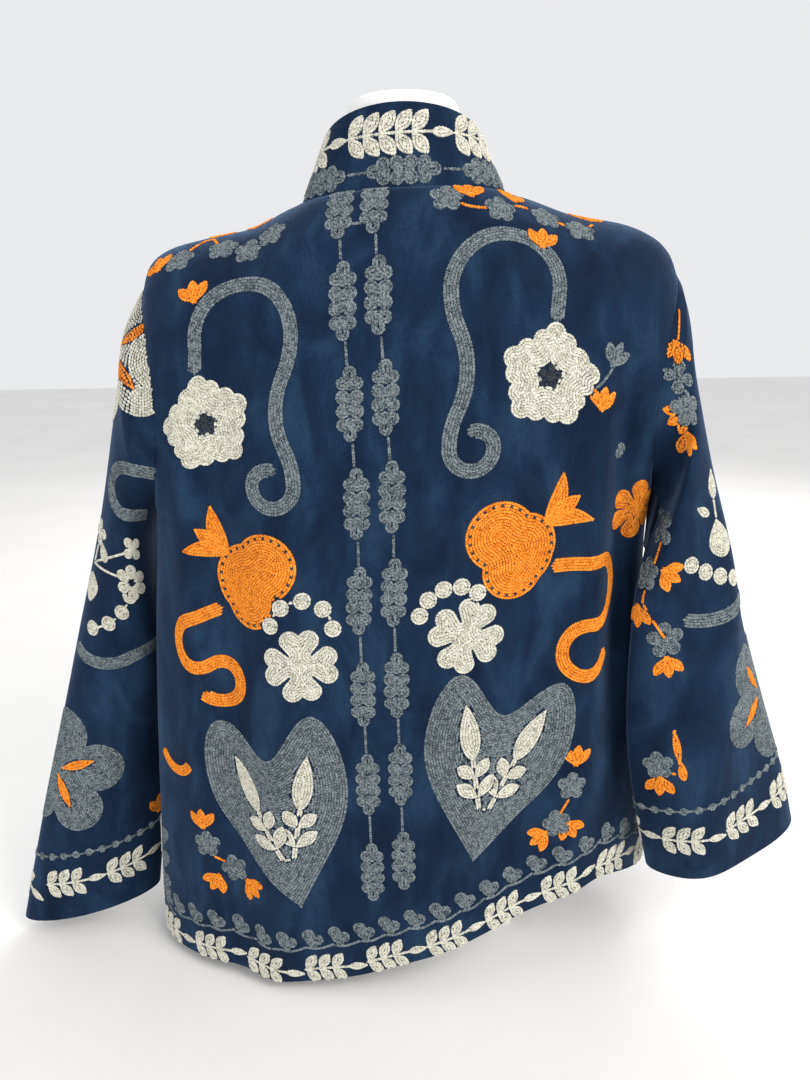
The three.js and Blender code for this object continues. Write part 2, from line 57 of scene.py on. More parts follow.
# x and height along the shoulder line, from the left armhole to the right one
SHOULDER = np.array([
    (-222, 651), (-215, 670), (-199, 682), (-169, 690), (-123, 699), (-85, 715), (4, 722),
    (93, 721), (149, 704), (190, 697), (217, 686), (231, 673), (238, 657),
], float)
# height, left and right side, depth behind and in front of the cloth's section
BODY = np.array([
    (0, -265, 248, 130, 123), (80, -262, 245, 126, 120), (220, -253, 237, 119, 115),
    (360, -241, 228, 113, 112), (464, -227, 224, 109, 111), (540, -224, 228, 106, 106),
    (640, -222, 238, 98, 94), (720, -222, 238, 88, 84),
], float)
LEFT, RIGHT, BEHIND, BEFORE = 1, 2, 3, 4
ARMHOLE_DEPTH, ARMHOLE_SCOOP = 70, 17
# side, top x, top z, pit x, pit z
ARMHOLES = {"left": (-1, -222, 651, -227, 460), "right": (1, 238, 657, 224, 466)}
# x and height of the hem of the back
HEM = np.array([
    (-265, 9), (-221, 12), (-175, 16), (-127, 13), (-60, 22), (-11, 37), (83, 70),
    (140, 90), (181, 99), (245, 80),
], float)


def lerp(start, end, share):
    """start plus share of the way to end."""
    return start + (end - start) * share


def smooth(value, low, high):
    """0 below low and 1 above high, joined by three times the square less twice the cube."""
    share = np.clip((value - low) / (high - low), 0, 1)
    return share * share * (3 - 2 * share)


def along(table, column, place):
    """One column of a table at places on its first column: between two rows it is
    the cubic whose slope at each row is that between the rows beside it."""
    keys, values = table[:, 0], table[:, column]
    slopes = np.empty(len(keys))
    slopes[1:-1] = (values[2:] - values[:-2]) / (keys[2:] - keys[:-2])
    slopes[0] = (values[1] - values[0]) / (keys[1] - keys[0])
    slopes[-1] = (values[-1] - values[-2]) / (keys[-1] - keys[-2])
    place = np.clip(place, keys[0], keys[-1])
    i = np.clip(np.searchsorted(keys, place, side="right") - 1, 0, len(keys) - 2)
    span = keys[i + 1] - keys[i]
    s = (place - keys[i]) / span
    rise = values[i + 1] - values[i]
    first, last = slopes[i] * span, slopes[i + 1] * span
    return values[i] + s * (first + s * (3 * rise - 2 * first - last + s * (first + last - 2 * rise)))


def armhole_x(hole, z):
    """x of an armhole seam at a height: straight from top to pit, scooped in by half a sine."""
    side, top_x, top_z, pit_x, pit_z = hole
    down = np.clip((top_z - z) / (top_z - pit_z), 0, 1)
    return lerp(top_x, pit_x, down) - side * ARMHOLE_SCOOP * np.sin(np.pi * down)


def top_edge(x, face, ease=0):
    """y and z of the body's top edge: the shoulder line, and between the neck points a
    half ellipse whose front also drops by the square of its bow. With an ease, as below
    the edge itself, the ellipse runs out softly into the shoulders: the square of its bow
    is the mean of 1 less the square of the way across and its hypotenuse with the ease."""
    across = (x - NECK_X) / NECK_HALF
    inside = 1 - across * across
    ease = ease * smooth(EASE_REACH - np.abs(across), 0, EASE_REACH - 1)
    bow = np.sqrt(np.maximum(0, inside + np.hypot(inside, ease)) / 2)
    z = along(SHOULDER, 1, x) - (NECK_FRONT_DROP * bow * bow if face > 0 else 0)
    return face * np.maximum(SEAM / 2, (NECK_FRONT if face > 0 else NECK_BACK) * bow), z


def height(row, top, drop, pit, hem):
    """z at a row: a quarter turn over the shoulder, a sine down the armhole, then even steps."""
    over = np.minimum(row / TOP_ROWS, 1) * QUARTER
    arm = np.clip((row - TOP_ROWS) / ARMHOLE_ROWS, 0, 1) * QUARTER
    skirt = np.clip((row - TOP_ROWS - ARMHOLE_ROWS) / SKIRT_ROWS, 0, 1)
    upper = top - drop * (1 - np.cos(over))
    middle = lerp(top - drop, pit, np.sin(arm))
    return np.where(row <= TOP_ROWS, upper, np.where(skirt > 0, lerp(pit, hem, skirt), middle))


def side_x(row, name):
    """x of the cloth's side at a row: on the armhole above the pit, on the body's table below."""
    hole = ARMHOLES[name]
    _, _, top_z, pit_x, pit_z = hole
    z = height(row, top_z, (top_z - pit_z) / 2, pit_z, along(HEM, 1, pit_x))
    skirt = along(BODY, LEFT if name == "left" else RIGHT, z)
    return np.where(row > TOP_ROWS + ARMHOLE_ROWS, skirt, armhole_x(hole, z))


def ring_reach(row):
    """Half angle of the body's section: open at the shoulder, a half ring from the pit down."""
    arm = np.clip((row - TOP_ROWS) / ARMHOLE_ROWS, 0, 1) * QUARTER
    return lerp(OPEN_SECTION, QUARTER, smooth(np.sin(arm), 0, 1))


def across_at(row, x):
    """Place across the section, from -1 to 1, of a point at x: the angle whose sine it is."""
    left, right, ring = side_x(row, "left"), side_x(row, "right"), ring_reach(row)
    off = (x - (left + right) / 2) / ((right - left) / 2)
    return np.arcsin(np.clip(off * np.sin(ring), -1, 1)) / ring


def panel_places(shoulder, neck):
    """Places across of a panel's columns: crowded towards both armholes, and spread as a
    cosine round the neckline."""
    row = np.array(0.0)
    far_left, far_right = side_x(row, "left"), side_x(row, "right")
    steps = np.arange(shoulder) / shoulder
    share = 1 - np.sin((1 - steps) * CROWDING) / np.sin(CROWDING)
    left = lerp(far_left, NECK_X - NECK_HALF, share)
    middle = NECK_X - NECK_HALF * np.cos(np.arange(neck) / neck * np.pi)
    right = lerp(far_right, NECK_X + NECK_HALF, np.append(share, 1)[::-1])
    return across_at(row, np.concatenate([left, middle, right])), shoulder, shoulder + neck


def put_mesh(name, points, faces, materials, kinds=None):
    """A closed piece from points in millimetres and a list of face arrays. Equal points
    are joined, the faces turned so that the volume is above zero, and the shading is
    smooth but for edges that turn by more than 50 degrees."""
    _, first, same = np.unique(np.round(points, 3), axis=0, return_index=True, return_inverse=True)
    points, same = points[first], same.ravel()
    faces = [same[f.reshape(-1, f.shape[-1])] for f in faces]
    corners = np.concatenate([f[:, [0, k, k + 1]] for f in faces for k in range(1, f.shape[1] - 1)])
    a, b, c = points[corners.T]
    if np.einsum("ij,ij->", a, np.cross(b, c)) < 0:
        faces = [f[:, ::-1] for f in faces]
    sizes = np.concatenate([np.full(len(f), f.shape[1]) for f in faces])
    mesh = bpy.data.meshes.new(name)
    mesh.vertices.add(len(points))
    mesh.vertices.foreach_set("co", (points * 0.001).astype(np.float32).ravel())
    mesh.loops.add(int(sizes.sum()))
    mesh.loops.foreach_set("vertex_index", np.concatenate([f.ravel() for f in faces]).astype(np.int32))
    mesh.polygons.add(len(sizes))
    mesh.polygons.foreach_set("loop_start", (np.cumsum(sizes) - sizes).astype(np.int32))
    mesh.polygons.foreach_set("loop_total", sizes.astype(np.int32))
    for material in materials:
        mesh.materials.append(material)
    if kinds is not None:
        mesh.polygons.foreach_set("material_index", kinds.astype(np.int32))
    mesh.update(calc_edges=True)
    mesh.polygons.foreach_set("use_smooth", np.ones(len(sizes), bool))
    mesh.set_sharp_from_angle(angle=SHARP_EDGE)
    piece = bpy.data.objects.new(name, mesh)
    bpy.context.scene.collection.objects.link(piece)
    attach(piece, "root")
    return piece, first


class Finish:
    """A node material that is built up behind its Principled shader."""

    def __init__(self, name, sockets):
        self.material = bpy.data.materials.new(name)
        self.material.use_nodes = True
        self.tree = self.material.node_tree
        self.shader = self.tree.nodes["Principled BSDF"]
        for socket, value in sockets.items():
            self.shader.inputs[socket].default_value = value

    def node(self, kind, inputs, out=0, **settings):
        """The output of a new node, whose inputs are values or other outputs."""
        made = self.tree.nodes.new(kind)
        for key, value in settings.items():
            setattr(made, key, value)
        for key, value in inputs.items():
            if isinstance(value, bpy.types.NodeSocket):
                self.tree.links.new(value, made.inputs[key])
            else:
                made.inputs[key].default_value = value
        return made.outputs[out]

    def ramp(self, factor, *stops):
        """A colour that runs through (place, colour) stops."""
        colour = self.node("ShaderNodeValToRGB", {0: factor})
        ends = colour.node.color_ramp.elements
        while len(ends) < len(stops):
            ends.new(0.5)
        for end, (place, shade) in zip(ends, stops):
            end.position = place
            end.color = (*shade, 1)
        return colour

    def join(self, name, socket):
        """Joins an output to one of the shader's inputs."""
        self.tree.links.new(socket, self.shader.inputs[name])


FORM_REST, FORM_THROAT, FORM_SHORTER, FORM_ARM_DROP, FORM_ARMPIT = 0.6, 1.6, 9, 95, 462
# height, half width, depth behind and in front, lean of the form's section
FORM = np.array([
    (0, 100, 46, 72, -20), (55, 128, 66, 84, -17), (120, 152, 86, 92, -12),
    (200, 158, 96, 94, -8), (330, 142, 84, 90, -4), (460, 172, 90, 96, 0),
    (560, 198, 90, 88, 3), (640, 215, 88, 84, 6), (720, 221, 78, 74, 8),
], float)
# step, share of the way up the neck, half width, depth behind and in front
FORM_NECK = np.array([
    (0, 0, 82, 54, 65), (1, 0.1, 70, 50, 57), (2, 0.26, 56, 48, 50), (3, 0.5, 49, 47, 47),
    (4, 0.8, 48, 46, 46), (5, 0.94, 42, 40, 40), (6, 0.99, 26, 25, 25), (7, 1, 1, 1, 1),
], float)
FORM_TOP = 799


def form_side(row, place, face, neck):
    """Front (1) or back (-1) of the form: the shoulder ridge, rounded down to its table's
    sections, whose depth falls to the sides as a cosine's power."""
    start = np.array(0.0)
    left, right = side_x(start, "left"), side_x(start, "right")
    middle, half = (left + right) / 2, (right - left) / 2
    ridge = middle + half * np.sin(place * OPEN_SECTION) / np.sin(OPEN_SECTION)
    top_y, top_z = top_edge(ridge, face)
    rest = np.where(neck & (face > 0), FORM_THROAT, FORM_REST)
    drop = lerp(NAPE_DROP, FORM_ARM_DROP, np.abs(place))
    z = height(row, top_z - WALL - rest, drop, FORM_ARMPIT, 0)
    flat = (ridge - middle) / half
    bow = np.maximum(0, 1 - flat * flat) ** (ROUNDNESS / 2)
    depth = along(FORM, 2 if face < 0 else 3, z) * bow
    cover = np.sin(np.minimum(row / TOP_ROWS, 1) * QUARTER)
    y = face * lerp(np.where(neck, np.abs(top_y), 0), depth, cover)
    cloth_half = (side_x(row, "right") - side_x(row, "left")) / 2
    begun = np.minimum(row, 1)
    inset = lerp(FORM_SHORTER, cloth_half - along(FORM, 1, z), begun)
    lean = lerp(middle, along(FORM, 4, z), begun)
    return np.stack([lean + cloth_half * flat - inset * flat ** 3, y, z], -1)


def ring_faces(rings, around):
    """Quads between successive rings of a tube that closes on itself."""
    i, j = np.meshgrid(np.arange(rings - 1), np.arange(around), indexing="ij")
    k = (j + 1) % around
    return np.stack([i * around + j, (i + 1) * around + j, (i + 1) * around + k, i * around + k], -1)


form_place, neck_from, neck_to = panel_places(16, 24)
form_row = np.linspace(0, LAST_ROW, 67)[:, None]
column = np.arange(len(form_place))
in_neck = (column > neck_from) & (column < neck_to)
behind = form_side(form_row, form_place, -1, in_neck)
before = form_side(form_row, form_place, 1, in_neck)
torso = np.concatenate([behind, before[:, -2:0:-1]], 1)
rings, around = torso.shape[:2]
neckline = np.concatenate([behind[0, neck_from:neck_to + 1], before[0, neck_to - 1:neck_from:-1]])
level = np.linspace(0, 7, 36)[:, None]
turn = np.arange(len(neckline)) / len(neckline) * 2 * np.pi
depth = np.where(np.sin(turn) > 0, along(FORM_NECK, 3, level), along(FORM_NECK, 4, level))
neck = np.stack(np.broadcast_arrays(
    NECK_X - along(FORM_NECK, 2, level) * np.cos(turn), -np.sin(turn) * depth,
    lerp(neckline[:, 2], FORM_TOP, along(FORM_NECK, 1, level)),
), -1)
neck = np.concatenate([neckline[None], neck])
points = np.concatenate([torso.reshape(-1, 3), neck.reshape(-1, 3), [(0, 0, 0), (NECK_X, 0, FORM_TOP)]])
faces = [ring_faces(rings, around), torso[..., 0].size + ring_faces(*neck.shape[:2])]
base = (rings - 1) * around + np.arange(around)
crown = torso[..., 0].size + (len(neck) - 1) * len(neckline) + np.arange(len(neckline))
faces.append(np.stack([base, np.full(around, len(points) - 2), np.roll(base, -1)], -1))
faces.append(np.stack([np.full(len(crown), len(points) - 1), crown, np.roll(crown, -1)], -1))

paint = Finish("form_paint", {"Roughness": 0.42, "Coat Weight": 0.15, "Coat Roughness": 0.3})
where = paint.node("ShaderNodeTexCoord", {}, 3)
mottle = paint.node("ShaderNodeTexNoise", {"Vector": where, "Scale": 14, "Detail": 4})
paint.join("Base Color", paint.ramp(mottle, (0.3, (0.74, 0.735, 0.71)), (0.7, (0.83, 0.825, 0.8))))
pores = paint.node("ShaderNodeTexNoise", {"Vector": where, "Scale": 700, "Detail": 2})
paint.join("Normal", paint.node("ShaderNodeBump", {
    "Strength": 0.08, "Distance": 0.0004, "Height": pores,
}))
form, _ = put_mesh("form_shell", points, faces, [paint.material])
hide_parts("dress_form")


# ---------------------------------------------------------------- back panel
# One piece of navy cotton velvet backed with a plain sateen lining, cut with a
# rounded hem that dips to the left. It is sewn along the shoulders, the armholes
# and the sides down to the vents.
UNDERARM_SLOPE = 80
VENT_HEIGHT, VENT_OPENING = 125, 9
FRONT_HEM, FRONT_HEM_SHARE = 40, 0.5
FOLD_FREE, EDGE_HOLD = 0.33, 8
# x at the top and at the hem, height of top and end, spread, depth out
BACK_FOLDS = np.array([
    (160, 166, 610, 120, 15, 9), (186, 196, 600, 190, 13, -15), (150, 162, 330, -60, 20, 6),
    (96, 104, 420, -80, 26, -5), (20, 30, 380, -120, 34, 5), (-100, -128, 520, -150, 26, 8),
    (-150, -164, 600, -60, 20, -8), (-186, -206, 600, 40, 16, 7),
], float)


def fold_depth(folds, x, z):
    """Depth of the drape: each fold swells and dies as a sine down its length and falls off
    to its sides as a bell curve."""
    depth = np.zeros(np.broadcast(x, z).shape)
    for x_top, x_hem, top, end, spread, out in folds:
        down = np.clip((top - z) / (top - end), 0, 1)
        off = (x - lerp(x_top, x_hem, (top - z) / top)) / spread
        depth += out * np.sin(np.pi * down ** 0.8) * (down < 1) * np.exp(-off * off)
    return depth


def body_point(row, place, face, folds):
    """Point of the body at a row and a place from -1 to 1 across: a section whose depth
    falls to the sides as a cosine's power, carried down from the top edge to the hem."""
    left, right, ring = side_x(row, "left"), side_x(row, "right"), ring_reach(row)
    x = (left + right) / 2 + (right - left) / 2 * np.sin(place * ring) / np.sin(ring)
    start = row * 0
    left, right = side_x(start, "left"), side_x(start, "right")
    top_x = (left + right) / 2 + (right - left) / 2 * np.sin(place * OPEN_SECTION) / np.sin(OPEN_SECTION)
    cover = np.sin(np.minimum(row / TOP_ROWS, 1) * QUARTER)
    top_y, top_z = top_edge(top_x, face, NECK_EASE * cover)
    _, _, arm_top, _, arm_pit = ARMHOLES["left"]
    drop = lerp(NAPE_DROP, (arm_top - arm_pit) / 2, np.abs(place))
    pit = lerp(arm_pit, ARMHOLES["right"][4], (place + 1) / 2)
    back_hem = along(HEM, 1, x)
    hem = back_hem if face < 0 else lerp(FRONT_HEM, back_hem, FRONT_HEM_SHARE)
    z = height(row, top_z, drop, pit, hem)
    closed = np.maximum(0, np.cos(ring)) ** ROUNDNESS
    weight = (np.maximum(0, np.cos(place * ring)) ** ROUNDNESS - closed) / (1 - closed)
    arm = np.clip((row - TOP_ROWS) / ARMHOLE_ROWS, 0, 1) * QUARTER
    below = smooth(top_z - drop - z, 0, top_z - drop - pit + UNDERARM_SLOPE)
    edge = np.abs(place) ** EDGE_HOLD
    side = lerp(ARMHOLE_DEPTH * (1 - below), ARMHOLE_DEPTH * np.cos(arm), edge)
    full = lerp(side, along(BODY, BEHIND if face < 0 else BEFORE, z), weight)
    y = lerp(np.abs(top_y), full, cover)
    y = y + fold_depth(folds, x, z) * np.minimum(1, weight / FOLD_FREE) * cover
    opened = VENT_OPENING * np.clip((hem + VENT_HEIGHT - z) / VENT_HEIGHT, 0, 1) * edge
    return np.stack([x, face * (np.maximum(y, SEAM / 2) + opened), z], -1)


def unit(v):
    """Vectors divided by their lengths."""
    return v / np.maximum(np.linalg.norm(v, axis=-1, keepdims=True), 1e-9)


def grid_normals(grid, outward, closed=False):
    """Unit normals of a grid: the cross product of its differences down and across."""
    if closed:
        wide = np.concatenate([grid[:, -1:], grid, grid[:, :1]], 1)
        across = wide[:, 2:] - wide[:, :-2]
    else:
        across = np.gradient(grid, axis=1)
    return unit(np.cross(np.gradient(grid, axis=0), across) * outward)


def armhole_normal(face, turn):
    """Outward direction in the armhole's plane at an angle from its top: an ellipse's."""
    _, _, top_z, _, pit_z = ARMHOLES["left"]
    y = face * np.sin(turn) / ARMHOLE_DEPTH
    return unit(np.stack([np.zeros_like(turn), y, np.cos(turn) / ((top_z - pit_z) / 2)], -1))


def wall_faces(rows, columns):
    """Quads of an open panel's two skins and of the four rims between them."""
    i, j = np.meshgrid(np.arange(rows), np.arange(columns), indexing="ij")
    outer = i * columns + j
    inner = outer + rows * columns

    def skin(a):
        return np.stack([a[:-1, :-1], a[1:, :-1], a[1:, 1:], a[:-1, 1:]], -1)

    def rim(a, b):
        return np.stack([a[:-1], a[1:], b[1:], b[:-1]], -1)

    return [
        skin(outer), skin(inner)[..., ::-1], rim(outer[0], inner[0]), rim(inner[-1], outer[-1]),
        rim(inner[:, 0], outer[:, 0]), rim(outer[:, -1], inner[:, -1]),
    ]


def flat_cut(outer, normals, column, row):
    """A panel as laid flat: beside each point and normal, its way across from one column
    and its way up from one row, both measured along the cloth."""
    steps = np.linalg.norm(np.diff(outer, axis=1), axis=-1)
    across = np.concatenate([np.zeros((len(outer), 1)), np.cumsum(steps, 1)], 1)
    across -= across[:, column:column + 1]
    steps = np.linalg.norm(np.diff(outer, axis=0), axis=-1)
    down = np.concatenate([np.zeros((1, outer.shape[1])), np.cumsum(steps, 0)], 0)
    up = down[row:row + 1] - down
    return np.concatenate([outer, normals, across[..., None], up[..., None]], -1)


def lined(name, outer, inner, faces):
    """A piece of velvet from its two skins, whose inner one and no rim is of the lining."""
    skins = np.concatenate([outer.reshape(-1, 3), inner.reshape(-1, 3)])
    kinds = np.concatenate([np.full(f[..., 0].size, i == 1) for i, f in enumerate(faces)])
    piece, _ = put_mesh(name + "_cloth", skins, faces, [velvet.material, lining.material], kinds)
    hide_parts(name)
    return piece


def body_panel(name, rows, places, face, folds, middle):
    """A velvet panel between two edges: its outer skin, and the lining a wall's thickness
    inside it, brought square to the seams where it meets its neighbours."""
    outer = body_point(rows, places, face, folds)
    normals = grid_normals(outer, -face)
    inward = normals.copy()
    at_neck = np.abs(outer[0, :, 0] - NECK_X) < NECK_HALF + 0.5
    inward[0, at_neck] = (0, 0, 1)
    inward[0, :, 1] = 0
    side = np.abs(np.broadcast_to(places, outer.shape[:2])) > 0.999
    low = side & (rows >= TOP_ROWS + ARMHOLE_ROWS)
    inward[low, 1] = 0
    inner = outer - WALL * unit(inward)
    arm = np.clip(rows[:, 0] / (TOP_ROWS + ARMHOLE_ROWS), 0, 1) * np.pi
    for edge, hole in ((0, "left"), (-1, "right")):
        at = side[:, edge] & (rows[:, 0] < TOP_ROWS + ARMHOLE_ROWS)
        inner[at, edge] = outer[at, edge] - WALL * armhole_normal(face, arm[at])
        inner[at, edge, 0] = armhole_x(ARMHOLES[hole], inner[at, edge, 2])
    piece = lined(name, outer, inner, wall_faces(*outer.shape[:2]))
    level = int(np.argmin(np.abs(rows[:, 0] - TOP_ROWS - ARMHOLE_ROWS)))
    return piece, flat_cut(outer, normals, middle, level)


velvet = Finish("navy_velvet", {
    "Roughness": 0.9, "Sheen Weight": 0.42, "Sheen Roughness": 0.28,
    "Sheen Tint": (0.33, 0.50, 0.80, 1), "Specular IOR Level": 0.12,
})
where = velvet.node("ShaderNodeTexCoord", {}, 3)
hung = velvet.node("ShaderNodeMapping", {"Vector": where, "Scale": (6, 6, 2.8)})
strokes = velvet.node("ShaderNodeTexNoise", {
    "Vector": hung, "Detail": 5, "Roughness": 0.55, "Distortion": 0.5,
})
fine = velvet.node("ShaderNodeMapping", {"Vector": where, "Scale": (260, 260, 90)})
tufts = velvet.node("ShaderNodeTexNoise", {"Vector": fine, "Detail": 3, "Roughness": 0.6})
nap = velvet.node("ShaderNodeMath", {0: tufts, 1: 0.35, 2: strokes}, operation="MULTIPLY_ADD")
velvet.join("Base Color", velvet.ramp(
    nap, (0.46, (0.0030, 0.0090, 0.0250)), (0.68, (0.0062, 0.0185, 0.0450)),
    (0.90, (0.0160, 0.0400, 0.0820)),
))
pile = velvet.node("ShaderNodeTexNoise", {"Vector": where, "Scale": 1100, "Detail": 2})
relief = velvet.node("ShaderNodeMath", {0: pile, 1: tufts}, operation="ADD")
velvet.join("Normal", velvet.node("ShaderNodeBump", {
    "Strength": 0.4, "Distance": 0.001, "Height": relief,
}))

lining = Finish("navy_sateen", {"Roughness": 0.5, "Specular IOR Level": 0.4})
where = lining.node("ShaderNodeTexCoord", {}, 3)
shade = lining.node("ShaderNodeTexNoise", {"Vector": where, "Scale": 30, "Detail": 3})
lining.join("Base Color", lining.ramp(shade, (0.3, (0.012, 0.020, 0.042)), (0.7, (0.020, 0.032, 0.062))))

panel_rows = np.concatenate([
    np.linspace(0, TOP_ROWS, 25)[:-1], np.linspace(TOP_ROWS, 12, 27)[:-1], np.linspace(12, LAST_ROW, 84),
])[:, None]
places, _, _ = panel_places(36, 36)
centre = int(np.argmin(np.abs(places)))
back_panel, back_cut = body_panel("back_panel", panel_rows, places[None], -1, BACK_FOLDS, centre)


# ---------------------------------------------------------------- two fronts
# Two pieces of the same velvet, open from the collar to the hem and hanging edge
# to edge with no fastening. Their sides are left open below the vents.
GAP_TOP, GAP_HEM = 12, 24
FRONT_FOLDS = np.array([
    (165, 178, 600, 60, 22, 7), (118, 126, 540, -60, 22, -7), (66, 74, 420, -120, 24, 5),
    (-70, -84, 440, -120, 24, 6), (-120, -134, 560, -60, 22, -7), (-168, -186, 600, 60, 20, 7),
], float)
fronts, front_cuts = {}, {}
for side, name in ((-1, "left_front"), (1, "right_front")):
    edge = across_at(panel_rows, NECK_X + side * lerp(GAP_TOP, GAP_HEM, panel_rows / LAST_ROW))
    own = places[(places - edge[0, 0]) * side > 0.01]
    share = (np.append(own, edge[0, 0]) - edge[0, 0]) / (side - edge[0, 0])
    share = np.sort(share) if side > 0 else np.sort(share)[::-1]
    across = lerp(edge, side, share[None])
    inner_edge = 0 if side > 0 else len(share) - 1
    fronts[side], front_cuts[side] = body_panel(name, panel_rows, across, 1, FRONT_FOLDS, inner_edge)


# ---------------------------------------------------------------- two sleeves
# Straight velvet sleeves, each one piece rolled into a tube and set into the
# armhole with a seam. They hang beside the body, pressed into a long crease behind.
CREASE_SPREAD, CREASE_FALL = 46, 2.2
CAP_STEPS, CAP_ROWS, ROUND_COLUMNS = 3, 38, 89
# outer edge x, y, z, inner edge x, y, z, depth behind and before, and the crease's
# angle from the outer edge and its height
SLEEVES = {
    "left": np.array([
        (-222, 0, 651, -227, 0, 460, 70, 70, 120, 0), (-238, 1, 624, -232, 2, 452, 66, 66, 120, 0),
        (-247, 3, 592, -237, 7, 440, 60, 60, 120, 2), (-260, 5, 551, -243, 14, 420, 54, 54, 120, 3),
        (-283, 6, 470, -246, 22, 382, 46, 46, 120, 4), (-303, 4, 402, -248, 32, 340, 42, 42, 118, 5),
        (-324, 0, 330, -252, 38, 286, 40, 40, 112, 5), (-343, -5, 262, -260, 40, 230, 39, 39, 108, 4),
        (-363, -11, 194, -263, 32, 170, 36, 36, 100, 3), (-386, -20, 112, -267, 18, 105, 33, 33, 96, 2),
        (-410, -30, 18, -273, -2, 36, 28, 28, 90, 1),
    ], float),
    "right": np.array([
        (238, 0, 657, 224, 0, 466, 70, 70, 40, 0), (246, -1, 632, 228, -6, 456, 65, 63, 40, 0),
        (250, -4, 600, 230, -26, 443, 59, 40, 40, 0), (258, -9, 548, 214, -61, 418, 53, 13, 40, 2),
        (272, -14, 478, 203, -80, 384, 44, 18, 42, 6), (290, -19, 414, 200, -86, 343, 40, 20, 56, 10),
        (310, -24, 354, 199, -89, 298, 36, 21, 76, 13), (332, -29, 290, 201, -90, 250, 34, 22, 96, 14),
        (352, -34, 232, 208, -88, 202, 34, 23, 110, 14), (368, -39, 186, 219, -83, 153, 35, 25, 118, 13),
        (380, -44, 138, 231, -78, 104, 36, 28, 122, 12),
    ], float),
}


def sleeve_point(name, step, turn):
    """Point of a sleeve: a section halfway between its outer and inner edge, as wide as
    they are apart, with two half-ellipse depths and the crease's ridge on the back one."""
    table = np.column_stack([np.arange(11.0), SLEEVES[name]])
    value = [along(table, c, step) for c in range(11)]
    out, inn = np.stack(value[1:4], -1), np.stack(value[4:7], -1)
    width = (out - inn) / 2
    to_side = unit(width)
    back = np.array([0.0, -1, 0])
    back = unit(back - to_side * (to_side @ back)[..., None])
    round_about = np.degrees(turn) % 360
    depth = np.where(round_about < 180, value[7], value[8])
    away = (round_about - value[9]) / CREASE_SPREAD
    reach = depth * np.sin(turn) + value[10] * np.exp(-CREASE_FALL * away * away)
    return (out + inn) / 2 + width * np.cos(turn)[..., None] + back * reach[..., None]


def sleeve_cut(outer, normals, column, cap):
    """A sleeve as laid flat, its middle line straight: the way up is a point's height
    along that line, and the way across adds up what is left of each step square to it.
    In the cap, whose rows are steep, the way across is that of the cap's last row, and
    the strip that reaches in to the scooped armhole seam is added to it."""
    ends = outer.mean(1)
    line = unit(ends[0] - ends[-1])
    up = (outer - outer[:1, column:column + 1]) @ line
    step = np.diff(outer, axis=1)
    flat = np.sqrt(np.maximum(np.sum(step ** 2, -1) - (step @ line) ** 2, 0))
    across = np.concatenate([np.zeros((len(outer), 1)), np.cumsum(flat, 1)], 1)
    across -= across[:, column:column + 1]
    across[:cap] = across[cap]
    across[0] -= (outer[0, :, 0] - outer[1, :, 0]) * np.sign(outer[0, :, 1])
    return np.concatenate([outer, normals, across[..., None], up[..., None]], -1)


sleeves, sleeve_cuts = {}, {}
sleeve_step = np.concatenate([
    np.linspace(0, CAP_STEPS, 27)[:-1], np.linspace(CAP_STEPS, 10, 82),
])[:, None]
for name, (side, *_) in ARMHOLES.items():
    start, end = (-90, 270) if side < 0 else (270, -90)
    turn = np.radians(np.linspace(start, end, ROUND_COLUMNS))[None]
    outer = sleeve_point(name, sleeve_step, turn)
    outer[:, -1] = outer[:, 0]
    normals = np.empty_like(outer)
    normals[:, :-1] = grid_normals(outer[:, :-1], 1, closed=True)
    normals[:, -1] = normals[:, 0]
    inner = outer - WALL * normals
    inner[0] = outer[0] - WALL * armhole_normal(-1, turn[0])
    for skin in (outer, inner):
        skin[0, :, 0] = armhole_x(ARMHOLES[name], skin[0, :, 2]) + side * SEAM
    sleeves[side] = lined(name + "_sleeve", outer, inner, wall_faces(*outer.shape[:2])[:4])
    sleeve_cuts[side] = sleeve_cut(outer, normals, ROUND_COLUMNS // 2, CAP_ROWS)


# ---------------------------------------------------------------- stand collar
# A band of doubled velvet, sewn round the neckline and leaning in. It is open in
# front, where its ends meet the edges of the fronts.
COLLAR_TOP_HALF, COLLAR_TOP_BACK, COLLAR_TOP_FRONT = 66, 50, 60
COLLAR_TOP_Z, COLLAR_TOP_DROP = 785, 46
end = np.pi - np.arcsin(GAP_TOP / NECK_HALF)
turn = np.linspace(-end, end, 97)[None]
up = np.linspace(0, 1, 19)[:, None]
foot = np.where(np.cos(turn) > 0, NECK_BACK, NECK_FRONT) - SEAM
head = np.where(np.cos(turn) > 0, COLLAR_TOP_BACK, COLLAR_TOP_FRONT)
foot_x = NECK_X + NECK_HALF * np.sin(turn) * 0.999
foot_z = np.where(np.cos(turn) > 0, top_edge(foot_x, -1)[1], top_edge(foot_x, 1)[1]) - WALL
top_z = COLLAR_TOP_Z - COLLAR_TOP_DROP * (1 - np.cos(turn)) / 2
outer = np.stack(np.broadcast_arrays(
    NECK_X + lerp(NECK_HALF - SEAM, COLLAR_TOP_HALF, up) * np.sin(turn),
    -np.cos(turn) * lerp(foot, head, up),
    lerp(foot_z, top_z, up),
), -1)
normals = grid_normals(outer, -1)
inward = normals.copy()
inward[[0, -1], :, 2] = 0
inner = outer - WALL * unit(inward)
collar, _ = put_mesh("collar_cloth", np.concatenate([outer.reshape(-1, 3), inner.reshape(-1, 3)]),
                     wall_faces(*outer.shape[:2]), [velvet.material])
collar_cut = flat_cut(outer[::-1], normals[::-1], 48, len(up) - 1)
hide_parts("stand_collar")


